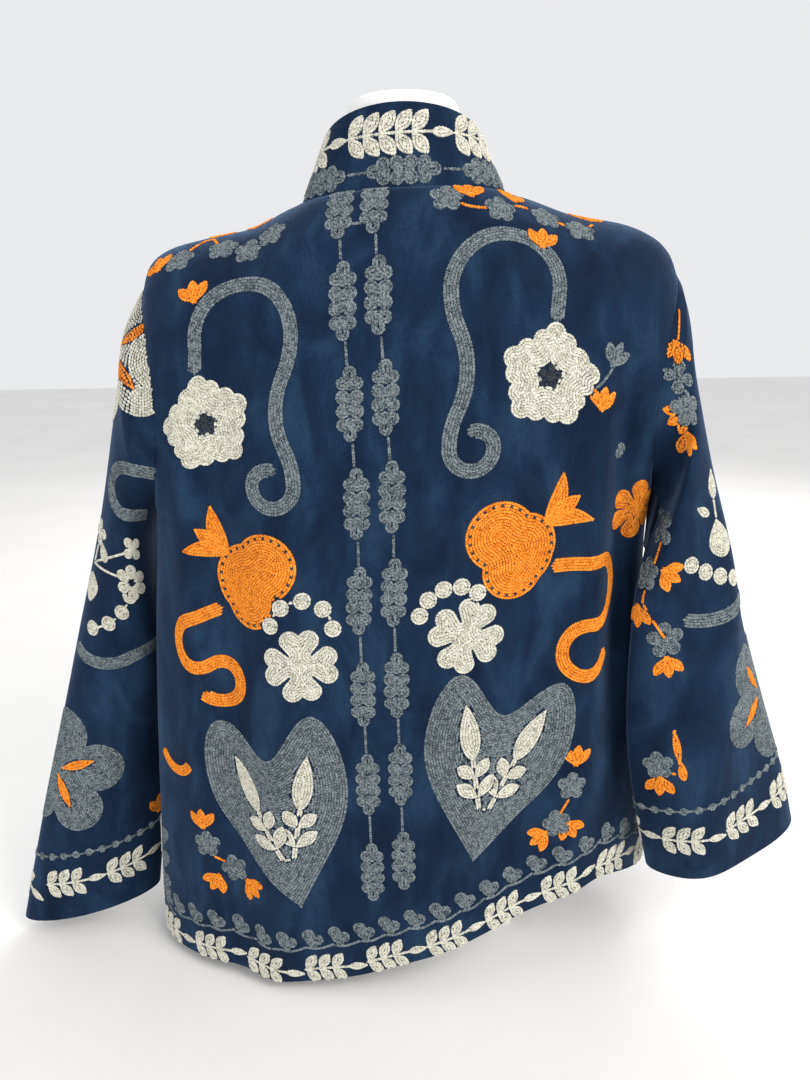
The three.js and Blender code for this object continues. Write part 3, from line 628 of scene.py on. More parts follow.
# ---------------------------------------------------------------- embroidery of the back
# Chain stitch in crewel yarn, hooked through the velvet before it is sewn up. A motif
# is filled by rows of links that follow its outline inwards, and a scroll by rows side
# by side. Places are millimetres on the flat cut, across and up from its middle.
LINK, GAUGE = 2.6, 2.5
STEP = 0.5
BUD_SPREAD = 38
STEMS_IN, STEM_PITCH = 13, 62
VINE_IN, VINE_PITCH = 38, 26
CLOTH_HALF, COVERS = 700, 2.3
FAR_STEP, NEAR_STEP, FOUND = 6, 1, 0.4
GREY, WHITE, ORANGE, DARK = range(4)
# tail, left foot and crest, groove, right crest and foot, and the two ends of the head:
# along the row, across it and up from the pile
LINK_POINTS = np.array([
    (-2.3, 0, 0.2), (0.3, -1.6, -0.3), (0.2, -0.8, 0.95), (0.1, 0, 0.55), (0.2, 0.8, 0.95),
    (0.3, 1.6, -0.3), (2.0, -0.9, 0.1), (2.0, 0.9, 0.1),
])
# Painted shade on each link's points: its feet darker and its crests lighter, as the rows shade each
# other.
LINK_PAINTED_SHADE = np.array([0.3, -0.1, 0.65, 0.3, 0.65, -0.1, 0.3, 0.3])
LINK_FACES = np.array([
    (0, 1, 2), (0, 2, 3), (0, 3, 4), (0, 4, 5), (0, 5, 1), (1, 5, 7), (1, 7, 6), (1, 6, 2),
    (2, 6, 3), (3, 6, 7), (3, 7, 4), (4, 7, 5),
])


def even(line, step=STEP):
    """A line's points again at equal steps along it."""
    way = np.append(0, np.cumsum(np.linalg.norm(np.diff(line, axis=0), axis=1)))
    at = np.linspace(0, way[-1], int(way[-1] / step) + 2)
    return np.column_stack([np.interp(at, way, line[:, 0]), np.interp(at, way, line[:, 1])])


def curve(knots):
    """Smooth line through knots: from one to the next it is the cubic that leaves and
    arrives parallel to the chord between the knots on either side."""
    k = np.array(knots, float)
    k = np.concatenate([2 * k[:1] - k[1:2], k, 2 * k[-1:] - k[-2:-1]])
    u = np.linspace(0, 1, 16, endpoint=False)[:, None]
    a, b, c, d = k[:-3, None], k[1:-2, None], k[2:-1, None], k[3:, None]
    square, cube = 2 * a - 5 * b + 4 * c - d, 3 * b - a - 3 * c + d
    line = b + ((c - a) * u + square * u ** 2 + cube * u ** 3) / 2
    return even(np.concatenate([line.reshape(-1, 2), k[-2:-1]]))


def row_of_links(line, kept, thread):
    """A link wherever the way along the kept stretches of a line passes a whole pitch:
    its place, direction and thread."""
    step = np.diff(line, axis=0)
    size = np.maximum(np.linalg.norm(step, axis=1), 1e-9)
    whole = kept[1:] & kept[:-1]
    count = np.floor(np.cumsum(size * whole) / LINK + 0.6)
    at = whole & (np.diff(count, prepend=0) > 0)
    return np.column_stack([line[:-1][at], (step / size[:, None])[at], np.full(at.sum(), thread)])


def rows_beside(line, offsets, thread, closed=False):
    """Rows of links beside a line, each left out where it comes nearer to the line than
    its offset, as in a tight bend, and a little short of an open line's ends. The line's
    direction is the mean over a few points, so that a row rounds a corner in an arc."""
    if closed:
        pad = np.concatenate([line[-9:], line, line[:9]])
    else:
        pad = np.pad(line, ((9, 9), (0, 0)), "reflect", reflect_type="odd")
    ahead = unit(pad[2:] - pad[:-2])
    ahead = unit(sum(ahead[8 + k:8 + k + len(line)] for k in range(-4, 5)))
    made = []
    for offset in offsets:
        beside = line + offset * np.column_stack([-ahead[:, 1], ahead[:, 0]])
        beside = even(np.concatenate([beside, beside[:1]]) if closed else beside)
        near = np.hypot(*(beside[:, None] - line[None, ::2]).transpose(2, 0, 1)).min(1)
        kept = near > abs(offset) - 0.5 * GAUGE
        if not closed:
            way = np.arange(len(beside)) * 0.5
            kept &= np.minimum(way, way[-1] - way) >= abs(offset) * 0.6
        made.append(row_of_links(beside, kept, thread))
    return np.concatenate(made)


def arcs(heading, bends):
    """Line from (0, 0) that sets off at a heading in degrees: arcs laid end to end, each
    with a length and the angle that it turns anticlockwise."""
    bearings = []
    for length, turn in bends:
        bearings.append(heading + turn * (np.arange(int(2 * length)) + 0.5) / int(2 * length))
        heading += turn
    bearings = np.radians(np.concatenate(bearings))
    steps = 0.5 * np.column_stack([np.cos(bearings), np.sin(bearings)])
    return np.concatenate([np.zeros((1, 2)), np.cumsum(steps, 0)])


def scroll(heading, bends, thread, rows=5):
    """A band of rows side by side along arcs laid end to end."""
    return rows_beside(arcs(heading, bends), (np.arange(rows) - (rows - 1) / 2) * GAUGE, thread)


def filled(outline, thread, speck=None):
    """A closed outline filled by rows at equal distances inwards from it. With a speck
    thread, every third link of the second row is in that one."""
    ring = even(np.concatenate([outline, outline[:1]]))
    x, y = ring.T
    if np.sum(x * np.roll(y, -1) - y * np.roll(x, -1)) < 0:
        ring = ring[::-1]
    made, offset = [], 0.5 * GAUGE
    while not made or len(made[-1]):
        made.append(rows_beside(ring, [offset], thread, closed=True))
        offset += GAUGE
    if speck is not None:
        made[1][::3, 4] = speck
    return np.concatenate(made)


def bloom(discs):
    """Outline of overlapping discs (angle, distance, radius) about a middle: in every
    direction the farthest edge of any of them."""
    ray = np.linspace(0, 2 * np.pi, 241)[:-1, None]
    angle, away, radius = np.array(discs, float).T
    off = ray - np.radians(angle)
    inside = radius ** 2 - (away * np.sin(off)) ** 2
    reach = np.where(inside > 0, away * np.cos(off) + np.sqrt(np.maximum(inside, 0)), 0).max(1)
    return np.column_stack([reach * np.cos(ray[:, 0]), reach * np.sin(ray[:, 0])])


def leaf(length, width, widest=0.4, lean=0):
    """Outline of a leaf that points up from its foot: a sine's power to each side, its
    middle line bowed sideways by lean."""
    u = np.linspace(0, 1, 40)
    half = width / 2 * np.sin(np.pi * u ** (np.log(0.5) / np.log(widest))) ** 0.8
    bow = lean * np.sin(np.pi * u)
    right = np.column_stack([bow + half, length * u])
    return np.concatenate([right, np.column_stack([bow - half, length * u])[-2:0:-1]])


def laid(motif, s=0, t=0, turn=0, mirror=1):
    """A motif mirrored, turned anticlockwise by degrees and put at a place."""
    c, n = np.cos(np.radians(turn)), np.sin(np.radians(turn))
    out = np.array(motif, float)
    for k in (0, 2)[: out.shape[1] // 2]:
        across = out[:, k] * mirror
        out[:, k], out[:, k + 1] = across * c - out[:, k + 1] * n, across * n + out[:, k + 1] * c
    out[:, 0] += s
    out[:, 1] += t
    return out


def group(parts, *place):
    """A motif of several parts, all put at one place."""
    return [laid(part, *place) for part in parts]


def petals(count, away, radius, bumps=1, spread=0, start=90):
    """Discs of a flower: count petals, each of a few bumps side by side, and a heart."""
    bump = (np.arange(bumps) - (bumps - 1) / 2) * spread
    ring = [(start + 360 * k / count + b, away, radius) for k in range(count) for b in bump]
    return ring + [(0, 0, away * 0.55)]


def fan(length, width, thread):
    """A bud of three pointed petals spread from one foot."""
    angles = (-BUD_SPREAD, 0, BUD_SPREAD)
    return np.concatenate([laid(filled(leaf(length, width, 0.6), thread), turn=a) for a in angles])


def line_of(knots, thread):
    """A single row of links."""
    return rows_beside(curve(knots), [0], thread)


def along_path(path, start, pitch, motif):
    """A motif laid again and again along a path, turned to run with it."""
    way = np.arange(len(path)) * 0.5
    at = np.searchsorted(way, np.arange(start, way[-1] - pitch * 0.6, pitch))
    ahead = path[np.minimum(at + 24, len(path) - 1)] - path[at]
    turns = np.degrees(np.arctan2(ahead[:, 1], ahead[:, 0]))
    return [laid(motif, *path[i], turn) for i, turn in zip(at, turns)]


def edge_path(cut, inset, left_from=None, right_from=None):
    """A line at a distance inside a panel's hem, and from given rows down its two sides."""
    hem = cut[-1, :, 6:8] + (0, inset)
    left, right = cut[:, 0, 6:8] + (inset, 0), cut[:, -1, 6:8] - (inset, 0)
    hem = hem[(hem[:, 0] > left[-1, 0]) & (hem[:, 0] < right[-1, 0])]
    parts = [hem]
    if left_from is not None:
        side = left[left_from:]
        parts.insert(0, side[side[:, 1] > hem[0, 1] + 4])
    if right_from is not None:
        side = right[right_from:]
        parts.append(side[side[:, 1] > hem[-1, 1] + 4][::-1])
    return even(curve(even(np.concatenate(parts), 14)))


def on_cloth(cut, flat):
    """Places of a flat cut on the hanging cloth: point, normal, and the directions across
    and up. Newton's steps, at first of up to six cells and then of one, find each place
    between the grid's own lines; a place off the cut is dropped."""
    rows, columns = cut.shape[:2]
    rough = cut[::FAR_STEP, ::FAR_STEP, 6:8]
    away = sum((flat[:, None, k] - rough[..., k].ravel()) ** 2 for k in (0, 1))
    i, j = np.divmod(away.argmin(1) * 1.0, rough.shape[1])
    i, j = i * FAR_STEP, j * FAR_STEP
    for most in [FAR_STEP] * 8 + [NEAR_STEP] * 10:
        a = np.clip(i.astype(int), 0, rows - 2)
        b = np.clip(j.astype(int), 0, columns - 2)
        u, v = (i - a)[:, None], (j - b)[:, None]
        p, q, r, w = cut[a, b], cut[a, b + 1], cut[a + 1, b], cut[a + 1, b + 1]
        here = (p * (1 - v) + q * v) * (1 - u) + (r * (1 - v) + w * v) * u
        down, side = lerp(r - p, w - q, v), lerp(q - p, w - r, u)
        miss = flat[:, :2] - here[:, 6:8]
        turn = down[:, 6] * side[:, 7] - down[:, 7] * side[:, 6]
        turn = np.where(np.abs(turn) < 1e-6, 1e-6, turn)
        step_i = (miss[:, 0] * side[:, 7] - miss[:, 1] * side[:, 6]) / turn
        step_j = (miss[:, 1] * down[:, 6] - miss[:, 0] * down[:, 7]) / turn
        i = np.clip(i + np.clip(step_i, -most, most), 0, rows - 1)
        j = np.clip(j + np.clip(step_j, -most, most), 0, columns - 1)
    turn = turn[:, None]
    to_s = (down[:, :3] * side[:, 7:8] - side[:, :3] * down[:, 7:8]) / turn
    to_t = (side[:, :3] * down[:, 6:7] - down[:, :3] * side[:, 6:7]) / turn
    found = np.hypot(*miss.T) < FOUND
    return found, here[:, :3], unit(here[:, 3:6]), to_s, to_t


def uncovered(motifs):
    """Links of motifs in their order, without those on cloth that an earlier one covers."""
    taken = np.zeros((2 * CLOTH_HALF, 2 * CLOTH_HALF), bool)
    near = np.argwhere(np.hypot(*(np.indices((5, 5)) - 2)) < COVERS) - 2
    kept = []
    for motif in motifs:
        cell = np.round(motif[:, :2]).astype(int) + CLOTH_HALF
        motif = motif[~taken[cell[:, 0], cell[:, 1]]]
        kept.append(motif)
        cell = np.round(motif[:, :2]).astype(int)[:, None] + CLOTH_HALF
        cell = (cell + near[None]).reshape(-1, 2)
        taken[cell[:, 0], cell[:, 1]] = True
    return np.concatenate(kept)


def yarn(name, dark, plain, light):
    """Twisted wool yarn whose plies differ: fine flecks over a tone for each link, with painted shade
    that darkens each link's feet and lightens its crests.
    """
    made = Finish(name, {"Roughness": 0.95, "Specular IOR Level": 0.12})
    where = made.node("ShaderNodeTexCoord", {}, 3)
    fleck = made.node("ShaderNodeTexNoise", {
        "Vector": where, "Scale": 850, "Detail": 3, "Roughness": 0.8,
    })
    tone_and_painted_shade = made.node("ShaderNodeAttribute", {}, 2, attribute_name="tone_and_painted_shade")
    mixed = made.node("ShaderNodeMath", {0: tone_and_painted_shade, 1: 0.35, 2: fleck}, operation="MULTIPLY_ADD")
    made.join("Base Color", made.ramp(mixed, (0.52, dark), (0.64, plain), (0.78, light)))
    twist = made.node("ShaderNodeTexNoise", {"Vector": where, "Scale": 1600, "Detail": 2})
    made.join("Normal", made.node("ShaderNodeBump", {
        "Strength": 0.5, "Distance": 0.0003, "Height": twist,
    }))
    return made.material


threads = [
    ("grey", yarn("grey_yarn", (0.010, 0.017, 0.025), (0.058, 0.078, 0.090), (0.24, 0.275, 0.285))),
    ("white", yarn("white_yarn", (0.13, 0.125, 0.105), (0.47, 0.455, 0.375), (0.74, 0.72, 0.62))),
    ("orange", yarn("orange_yarn", (0.26, 0.045, 0.003), (0.72, 0.190, 0.010), (0.90, 0.34, 0.045))),
    ("dark", yarn("dark_yarn", (0.006, 0.008, 0.012), (0.018, 0.022, 0.030), (0.05, 0.06, 0.07))),
]
tone_of = np.random.default_rng(11)


def embroider(name, cut, motifs):
    """Every link of a panel's motifs as a small closed lump on the cloth, one piece for
    each thread."""
    links = uncovered(motifs)
    found, point, normal, to_s, to_t = on_cloth(cut, links)
    ahead = to_s * links[:, 2:3] + to_t * links[:, 3:4]
    ahead = unit(ahead - normal * np.einsum("ij,ij->i", ahead, normal)[:, None])
    across = np.cross(normal, ahead)
    made = []
    for thread, (word, material) in enumerate(threads):
        own = found & (links[:, 4] == thread)
        if not own.any():
            continue
        axes = np.stack([ahead[own], across[own], normal[own]], 1)
        points = (point[own][:, None] + np.einsum("pk,nkc->npc", LINK_POINTS, axes)).reshape(-1, 3)
        faces = (np.arange(own.sum())[:, None, None] * len(LINK_POINTS) + LINK_FACES).reshape(-1, 3)
        piece, first = put_mesh(name + "_" + word + "_thread", points, [faces], [material])
        link, point_of = np.divmod(first, len(LINK_POINTS))
        # A random tone for each link, plus painted shade from the link's points: feet darker, crests
        # lighter.
        tone_and_painted_shade = 0.35 * tone_of.random(own.sum())[link] + LINK_PAINTED_SHADE[point_of]
        shades = piece.data.attributes.new("tone_and_painted_shade", "FLOAT", "POINT")
        shades.data.foreach_set("value", tone_and_painted_shade.astype(np.float32))
        made.append(piece)
    return made


def garland_bead():
    """One bead of the garlands: a clover pointing up, four round lobes, a clover down."""
    clover = filled(bloom([(90, 6, 5.6), (200, 6, 5.4), (340, 6, 5.4), (270, 4, 4)]), GREY)
    lobes = filled(bloom([(45, 8, 5.8), (135, 8, 5.8), (225, 8, 5.8), (315, 8, 5.8), (0, 0, 8)]), GREY)
    return np.concatenate([laid(clover, 0, 18.5), lobes, laid(clover, 0, -18.5, 180)])


def pomegranate():
    """A pomegranate that leans to the left: a round body with a smaller bottom, bordered by
    a specked row, and a crown of three points."""
    body = filled(bloom([(40, 12, 30), (190, 11, 29), (260, 22, 26.5), (225, 12, 30)]), ORANGE, DARK)
    crown = [laid(filled(leaf(length, width, 0.45, lean), ORANGE), -28, 16, turn)
             for length, width, lean, turn in ((46, 15, -4, 18), (37, 17, 0, 52), (43, 15, 4, 88))]
    return np.concatenate([body, *crown])


NOTCH, LOBE = 0.80, 1.55


def heart_outline(width, tall):
    """A heart that stands on its point: each half is a sine wide, and falls as a square from
    the notch to the point, with a round lobe that fades quickly downwards."""
    u = np.linspace(0, np.pi, 90)
    up = NOTCH * (1 - (u / np.pi) ** 2) + LOBE * (np.sin(u) * (1 - u / np.pi) ** 2) ** 2
    half = np.column_stack([width / 2 * np.sin(u), tall * up])
    return np.concatenate([half, half[-2:0:-1] * (-1, 1)])


def sprig():
    """A white sprig: a stalk with two pairs of small leaves and a tall pointed leaf on top."""
    blade = laid(filled(leaf(54, 19, 0.4), WHITE), 0, 50)
    pairs = [laid(filled(leaf(length, 13, 0.55), WHITE), 0, up, side * 44)
             for up, length in ((12, 26), (32, 22)) for side in (-1, 1)]
    return [blade, *pairs, scroll(90, [(54, 0)], WHITE, 2)]


def crook():
    """A grey scroll that rises, rounds a half circle, sways down and ends in a curl."""
    sway = [(32, -25), (64, 50), (32, -25)]
    return scroll(90, [(24, 0), (138, -180), *sway, (60, -190), (26, -110)], GREY)


def tail(heading, straight, size):
    """An orange scroll: a straight stretch, a little over a half circle back, another the
    other way, and a short bend on."""
    bends = [(straight, 0), (76 * size, -190), (66 * size, 200), (24 * size, 60)]
    return scroll(heading, bends, ORANGE)


def pearls(place, heading, bends, count=5):
    """White beads at equal steps along arcs, on a thread."""
    line = arcs(heading, bends) + place
    at = np.linspace(0, len(line) - 1, count).astype(int)
    return [laid(pearl, *line[i]) for i in at] + [rows_beside(line, [0], WHITE)]


def vine_leaf():
    """Two unlike lobes that share a foot on a thin stem."""
    pair = filled(bloom([(105, 10, 6.3), (105, 4, 5.6), (32, 6.5, 5.6), (270, 3, 3.6)]), GREY)
    return np.concatenate([laid(pair, 8, 3), line_of([(0, 0), (12, -3), (27, 0)], GREY)])


def leafy_stem(pairs=3, length=19):
    """Pairs of round leaves that lean along a stem, and then one long narrow leaf."""
    round_leaf = filled(leaf(length, 0.57 * length, 0.53), WHITE)
    parts = [laid(round_leaf, 1 + 13 * k, 0, -90 + side * 52) for k in range(pairs) for side in (1, -1)]
    end = 13 * pairs + 4
    last_leaf = laid(filled(leaf(19, 0.41 * length), WHITE), end, 0, -90)
    return np.concatenate([*parts, line_of([(0, 0), (end / 2, 0), (end, 0)], WHITE), last_leaf])


def borders(cut, start, *rows):
    """The pale stems along a panel's edges, and the grey vine inside them."""
    stems = along_path(edge_path(cut, STEMS_IN, *rows), start, STEM_PITCH, leafy_stem())
    return stems + along_path(edge_path(cut, VINE_IN, *rows), start, VINE_PITCH, vine_leaf())


def star_flower(size):
    """A flower of five petals, each of three bumps with the middle one farthest out, and a
    dark five-pointed eye."""
    eye = filled(bloom(petals(5, 6.5, 3.4)), DARK)
    tips = petals(5, size * 0.79, size * 0.21)
    sides = petals(5, size * 0.68, size * 0.20, 2, 42)
    return [eye, filled(bloom([*tips, *sides, (0, 0, size * 0.62)]), WHITE)]


work = []
bead = garland_bead()
rank = np.arange(-1, 7)
# across: place, slope and bend; up: place, slope and bend, from the second bead down
for columns in ((-52, 5.5, -0.33, 176, -78.5, -0.9), (-24, 6, -0.37, 179, -77.5, -0.8)):
    s_0, s_1, s_2, t_0, t_1, t_2 = columns
    middle = np.column_stack([s_0 + s_1 * rank + s_2 * rank ** 2, t_0 + t_1 * rank + t_2 * rank ** 2])
    work += [laid(bead, *place) for place in middle]
    work.append(line_of(middle, GREY))
work.append(line_of([(-57, 235), (-29, 235)], GREY))

flower = star_flower(43)
work += group(flower, -172, 86, 12) + group(flower, 114, 115, -8)
bud = fan(21, 9.5, ORANGE)
grey_bud = fan(21, 9.5, GREY)
small = filled(bloom(petals(5, 8.5, 5.6)), GREY)
dot = filled(bloom([(0, 0, 7)]), GREY)
work += [
    laid(bud, -181, 186, 10), laid(bud, 104, 216, -5), laid(grey_bud, 168, 126, -30),
    laid(bud, 158, 92, -12), line_of([(146, 104), (168, 124)], GREY), laid(dot, 193, 49),
    laid(filled(bloom(petals(6, 19, 9)), ORANGE), 222, -8),
]
pearl = filled(bloom([(0, 0, 7.6)]), WHITE)
work += pearls((-115, -90), 80, [(79, -165)]) + pearls((13, -82), 78, [(62, -115)])
work += [laid(pomegranate(), -131, -48), laid(pomegranate(), 87, -24, 0, -1)]
work += [laid(crook(), -182, 130), laid(crook(), 120, 158, 0, -1)]
work += [laid(tail(-20, 34, 1), -168, -82, 0, -1), laid(tail(0, 50, 1.25), 126, -46)]
work.append(laid(scroll(-60, [(54, 120)], ORANGE, 4), -256, -238))
clover_flower = filled(bloom(petals(4, 24.5, 9.3, 2, 38, 80) + petals(4, 14, 8.6, 1, 0, 80)), WHITE)
work += [laid(clover_flower, -89, -126, 12), laid(clover_flower, 54, -102, -12)]

for foot, turn, tall in (((-99, -366), 10, 188), ((65, -320), -11, 178)):
    base = laid(np.array([(0.0, 52)]), *foot, turn)[0]
    for side in (-1, 1):
        work += [laid(laid(part, side * 5, 0, -side * 19, side), *base, turn) for part in sprig()]
    work.append(laid(line_of([(-6, 0), (0, 0), (6, 0)], WHITE), *base, turn))
    work.append(laid(filled(heart_outline(140, tall), GREY), *foot, turn))

work += [
    laid(bud, -200, -302, 5), laid(small, -197, -318), laid(small, -170, -341, 20),
    laid(bud, -186, -350, 150),
    laid(bud, -158, -350, -130), line_of([(-192, -330), (-178, -336)], ORANGE),
    laid(bud, 163, -236, -5), laid(small, 161, -256), laid(small, 149, -294, 15),
    laid(bud, 141, -303, 125),
    laid(bud, 158, -292, -150), line_of([(159, -270), (151, -286)], ORANGE),
]
vent_row = int(np.argmin(np.abs(back_cut[:, 0, 2] - along(HEM, 1, -265) - VENT_HEIGHT)))
work += borders(back_cut, 4, vent_row, vent_row)
work += [
    laid(bud, -222, 226, 20), laid(small, -203, 233), laid(bud, -190, 270, -10), laid(small, -164, 240),
    laid(bud, -152, 276, 0), laid(small, -118, 244), laid(bud, 46, 258, 8), laid(small, 26, 256),
    laid(small, 70, 250), laid(bud, 86, 266, 0), laid(small, 112, 253), laid(bud, 160, 268, -15),
    laid(small, 142, 244), laid(small, -138, 232),
    line_of([(-216, 238), (-203, 233), (-186, 262), (-164, 240), (-138, 232), (-118, 244)], ORANGE),
    line_of([(26, 256), (44, 248), (70, 250), (90, 260), (112, 253), (142, 244), (158, 258)], ORANGE),
]
back_thread = embroider("back", back_cut, work)


# ---------------------------------------------------------------- embroidery of the fronts
# The same yarn and motifs, worked on each front as a mirror of the other: a scroll with
# its flower, a pomegranate, a heart, and garlands along the open edge and the hem.
for side, cut in front_cuts.items():
    work = borders(cut, 6, *((0, vent_row) if side > 0 else (vent_row, 0)))
    plan = group(flower, 136, 96, 10)
    plan += [
        laid(crook(), 140, 138, 0, -1),
        laid(pomegranate(), 130, -44, 0, -1), laid(clover_flower, 84, -122, -12),
        laid(tail(-10, 10, 0.8), 168, -66),
        laid(bud, 120, 206, -5), laid(small, 140, 226), laid(bud, 164, 236, -12),
        laid(grey_bud, 196, 150, -30), laid(small, 212, -196), laid(bud, 214, -178, -10),
        laid(small, 66, 12), laid(bud, 72, -6, 180),
    ]
    base = laid(np.array([(0.0, 52)]), 112, -330, -8)[0]
    for half in (-1, 1):
        plan += [laid(laid(part, half * 5, 0, -half * 19, half), *base, -8) for part in sprig()]
    plan.append(laid(line_of([(-6, 0), (0, 0), (6, 0)], WHITE), *base, -8))
    plan.append(laid(filled(heart_outline(132, 176), GREY), 112, -330, -8))
    work += [laid(motif, 0, 0, 0, side) for motif in plan]
    embroider("left_front" if side < 0 else "right_front", cut, work)


# ---------------------------------------------------------------- embroidery of the sleeves
# Worked before the sleeve is rolled: large round-petalled flowers, scrolls and sprays,
# and two borders round the cuff, with the last of the velvet left plain.
stamens = [laid(filled(leaf(36, 9.5, 0.5), ORANGE), 2 * k, 4 * k, -62 - 84 * (k < 0)) for k in (-1, 1)]
round_petals = petals(5, 41, 25.5, 1, 0, 20)


def large_flower(thread):
    """Five round petals about two orange stamens that point to one side."""
    return stamens + [filled(bloom(round_petals), thread)]


def spray(length, sway):
    """An orange stalk that hangs down and carries florets and buds to both sides."""
    parts = [laid(small, sway, -8), laid(bud, -sway - 4, -24, 130), laid(bud, sway, -40, -160)]
    if length > 60:
        parts += [laid(small, -sway - 8, -62), laid(bud, -sway + 12, -52, -140), laid(bud, -12, -92, 175),
                  laid(small, 6, -112)]
    stalk = [(0, 14), (sway, -length / 3), (-sway, -length * 2 / 3), (0, -length)]
    return parts + [line_of(stalk, ORANGE)]


dotted = np.concatenate([laid(filled(bloom([(0, 0, 4)]), GREY), 5, 0), line_of([(0, 0), (13, 0)], GREY)])
pear = laid(filled(leaf(30, 24, 0.45), WHITE), 0, 0, 180)
cross = filled(bloom(petals(4, 8, 5.2)), WHITE)
six = filled(bloom(petals(6, 12.5, 6)), WHITE)
grey_cross = filled(bloom(petals(4, 9.5, 5.8, 1, 0, 45)), GREY)
floret = filled(bloom(petals(5, 10.5, 6.2)), GREY)
for side, cut in sleeve_cuts.items():
    work = along_path(edge_path(cut, 43), 2, 62, leafy_stem())
    work += along_path(edge_path(cut, 75), 1, 13, dotted)
    if side < 0:
        work += group(large_flower(WHITE), -30, 36, 20)
        work += group(large_flower(GREY), -56, -392)
        work += [
            laid(scroll(180, [(34, 0), (72, 180), (34, 0)], GREY), 42, -60),
            laid(cross, -34, -135), laid(cross, 14, -140, 40), laid(six, 9, -175), laid(pear, -46, -178),
            laid(filled(leaf(20, 12), WHITE), -22, -162, 20),
            line_of([(-44, -168), (6, -172)], WHITE),
            line_of([(-44, -168), (10, -142)], WHITE),
            line_of([(-44, -168), (-34, -140)], WHITE),
            *pearls((4, -190), -110, [(62, -50)], 4),
            laid(scroll(-35, [(66, 70), (40, -30)], GREY), -62, -256),
            laid(bud, 58, -438, 5), laid(small, 74, -404),
            line_of([(60, -420), (60, -372)], ORANGE),
        ]
        work += group(spray(104, 6), 120, -64)
        work += group(large_flower(GREY), 138, -386)
        work += group(spray(104, -6), -150, -230)
        work += group(flower, -140, -60)
        work += [laid(pomegranate(), 128, -236), laid(clover_flower, -140, -150, 20)]
    else:
        work += group(large_flower(GREY), 64, -296, 180)
        work += [
            laid(bud, 12, 38, 165), line_of([(30, 62), (10, 30)], ORANGE),
            laid(grey_cross, 2, 8, 20), laid(floret, 1, -19), laid(bud, -2, -22, 110),
            line_of([(2, 2), (2, -22)], ORANGE),
            laid(bud, -8, -38, -175), line_of([(0, -24), (-8, -42)], ORANGE),
            laid(grey_cross, -48, -116), laid(small, -60, -153),
            line_of([(-46, -122), (-62, -176)], ORANGE),
            laid(bud, -42, -148, -130), line_of([(-58, -148), (-42, -150)], ORANGE),
            laid(bud, -68, -178, 175), line_of([(-62, -176), (-47, -208)], ORANGE),
            laid(floret, -46, -211), laid(bud, -47, -226, 180),
            laid(filled(leaf(34, 7, 0.5), ORANGE), -51, -330),
            laid(filled(leaf(20, 8), ORANGE), -50, -346),
            laid(small, -70, -329), laid(bud, -70, -340, 170),
            line_of([(-52, -340), (-64, -336)], ORANGE),
            laid(filled(leaf(26, 13), WHITE), 24, -100, -10),
            laid(filled(leaf(18, 9), WHITE), 14, -112, 60),
            laid(filled(leaf(34, 28, 0.4), WHITE), 22, -152),
            line_of([(20, -150), (24, -96)], WHITE),
            *pearls((-14, -150), -40, [(50, 25)], 4),
            laid(scroll(-25, [(78, 60)], GREY), -28, -196),
        ]
        work += group(flower, 128, -34) + [laid(pomegranate(), 132, -196, 0, -1)]
        work += group(spray(104, -6), -150, -70) + [laid(clover_flower, -158, -226)]
        work += group(spray(104, 5), 178, -90)
    embroider("left_sleeve" if side < 0 else "right_sleeve", cut, work)


# ---------------------------------------------------------------- embroidery of the collar
# Two garlands worked before the band is folded: pale leaves along its upper half, and
# along the seam the beads of the back's garlands, laid on their sides with one at the nape.
LEAVES_UP, BEADS_UP, BEAD_PITCH = 43, 15, 78
work = along_path(even(np.array([(-232.0, LEAVES_UP), (232, LEAVES_UP)])), 10, 88, leafy_stem(5, 21))
work += [laid(bead, BEAD_PITCH * k, BEADS_UP, 90) for k in range(-3, 4)]
work.append(line_of([(-230, BEADS_UP), (0, BEADS_UP), (230, BEADS_UP)], GREY))
collar_thread = embroider("collar", collar_cut, work)


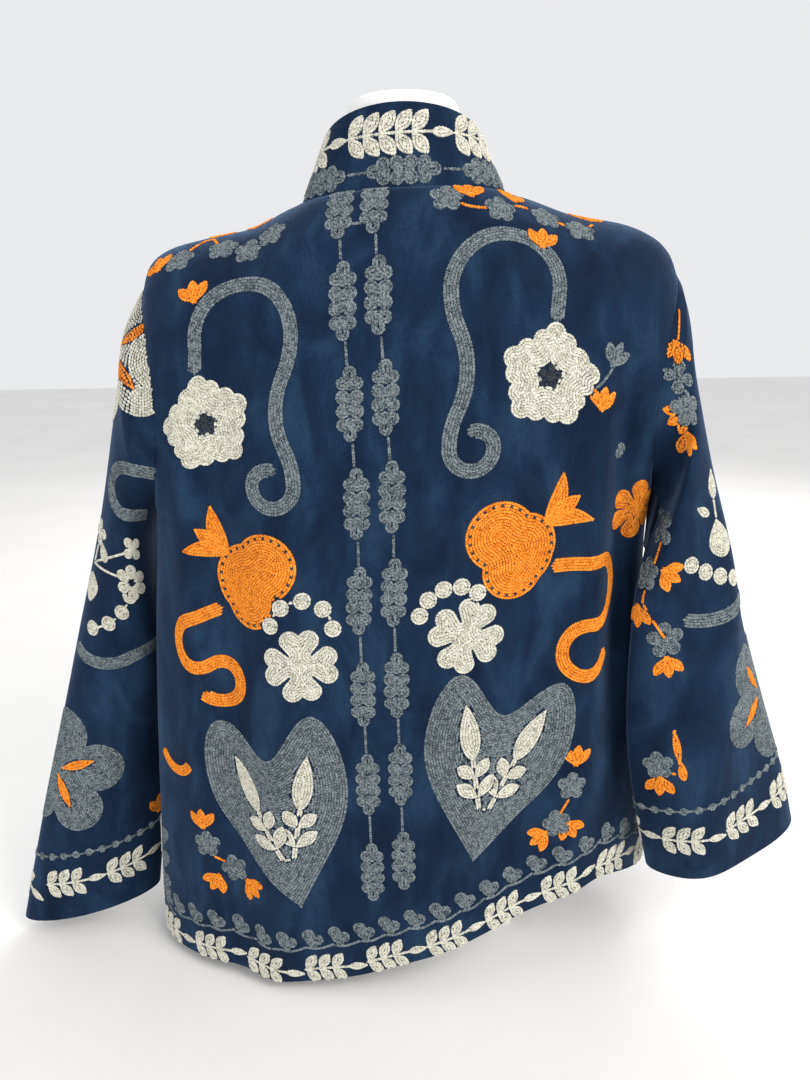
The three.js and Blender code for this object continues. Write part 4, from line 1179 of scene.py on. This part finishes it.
# ---------------------------------------------------------------- floor, light and camera
floor_mesh = bpy.data.meshes.new("floor")
floor_mesh.from_pydata([(-6, -3, 0), (6, -3, 0), (6, 6, 0), (-6, 6, 0)], [], [(0, 1, 2, 3)])
floor = bpy.data.objects.new("floor", floor_mesh)
bpy.context.scene.collection.objects.link(floor)
pale = Finish("pale_floor", {"Roughness": 0.8})
grain = pale.node("ShaderNodeTexNoise", {"Vector": pale.node("ShaderNodeTexCoord", {}, 3), "Scale": 3})
pale.join("Base Color", pale.ramp(grain, (0.3, (0.80, 0.79, 0.77)), (0.7, (0.84, 0.83, 0.81))))
floor.data.materials.append(pale.material)

bpy.context.scene.view_settings.view_transform = "Standard"
world = bpy.data.worlds.new("studio")
bpy.context.scene.world = world
world.use_nodes = True
world.node_tree.nodes["Background"].inputs["Color"].default_value = (0.97, 0.975, 1.0, 1)
world.node_tree.nodes["Background"].inputs["Strength"].default_value = 0.85


def soft_light(name, place, aim, size, power, colour):
    """A square lamp that faces a point."""
    lamp = bpy.data.lights.new(name, "AREA")
    lamp.size = size
    lamp.energy = power
    lamp.color = colour
    holder = bpy.data.objects.new(name, lamp)
    bpy.context.scene.collection.objects.link(holder)
    holder.location = place
    way = np.array(place) - np.array(aim)
    level = np.hypot(way[0], way[1])
    holder.rotation_euler = (np.arctan2(level, way[2]), 0, np.arctan2(way[0], -way[1]))


soft_light("key", (1.5, -1.4, 1.8), (0, 0, 0.4), 1.2, 42, (1.0, 0.98, 0.95))
soft_light("fill", (-1.6, -1.4, 1.0), (0, 0, 0.4), 1.4, 12, (0.93, 0.96, 1.0))
soft_light("far_side", (0.4, 1.8, 1.6), (0, 0, 0.5), 1.4, 24, (1.0, 1.0, 1.0))

LENS, SENSOR = 27.07, 36
EYE = (0, -0.750, 0.635)
PITCH, ROLL = -16.3, -0.97
lens = bpy.data.cameras.new("camera")
lens.lens = LENS
lens.sensor_width = SENSOR
camera = bpy.data.objects.new("camera", lens)
bpy.context.scene.collection.objects.link(camera)
camera.location = EYE
tilt, roll = np.radians(90 + PITCH), np.radians(ROLL)
camera.rotation_mode = "QUATERNION"
camera.rotation_quaternion = (
    np.cos(tilt / 2) * np.cos(roll / 2), np.sin(tilt / 2) * np.cos(roll / 2),
    -np.sin(tilt / 2) * np.sin(roll / 2), np.cos(tilt / 2) * np.sin(roll / 2),
)
bpy.context.scene.camera = camera
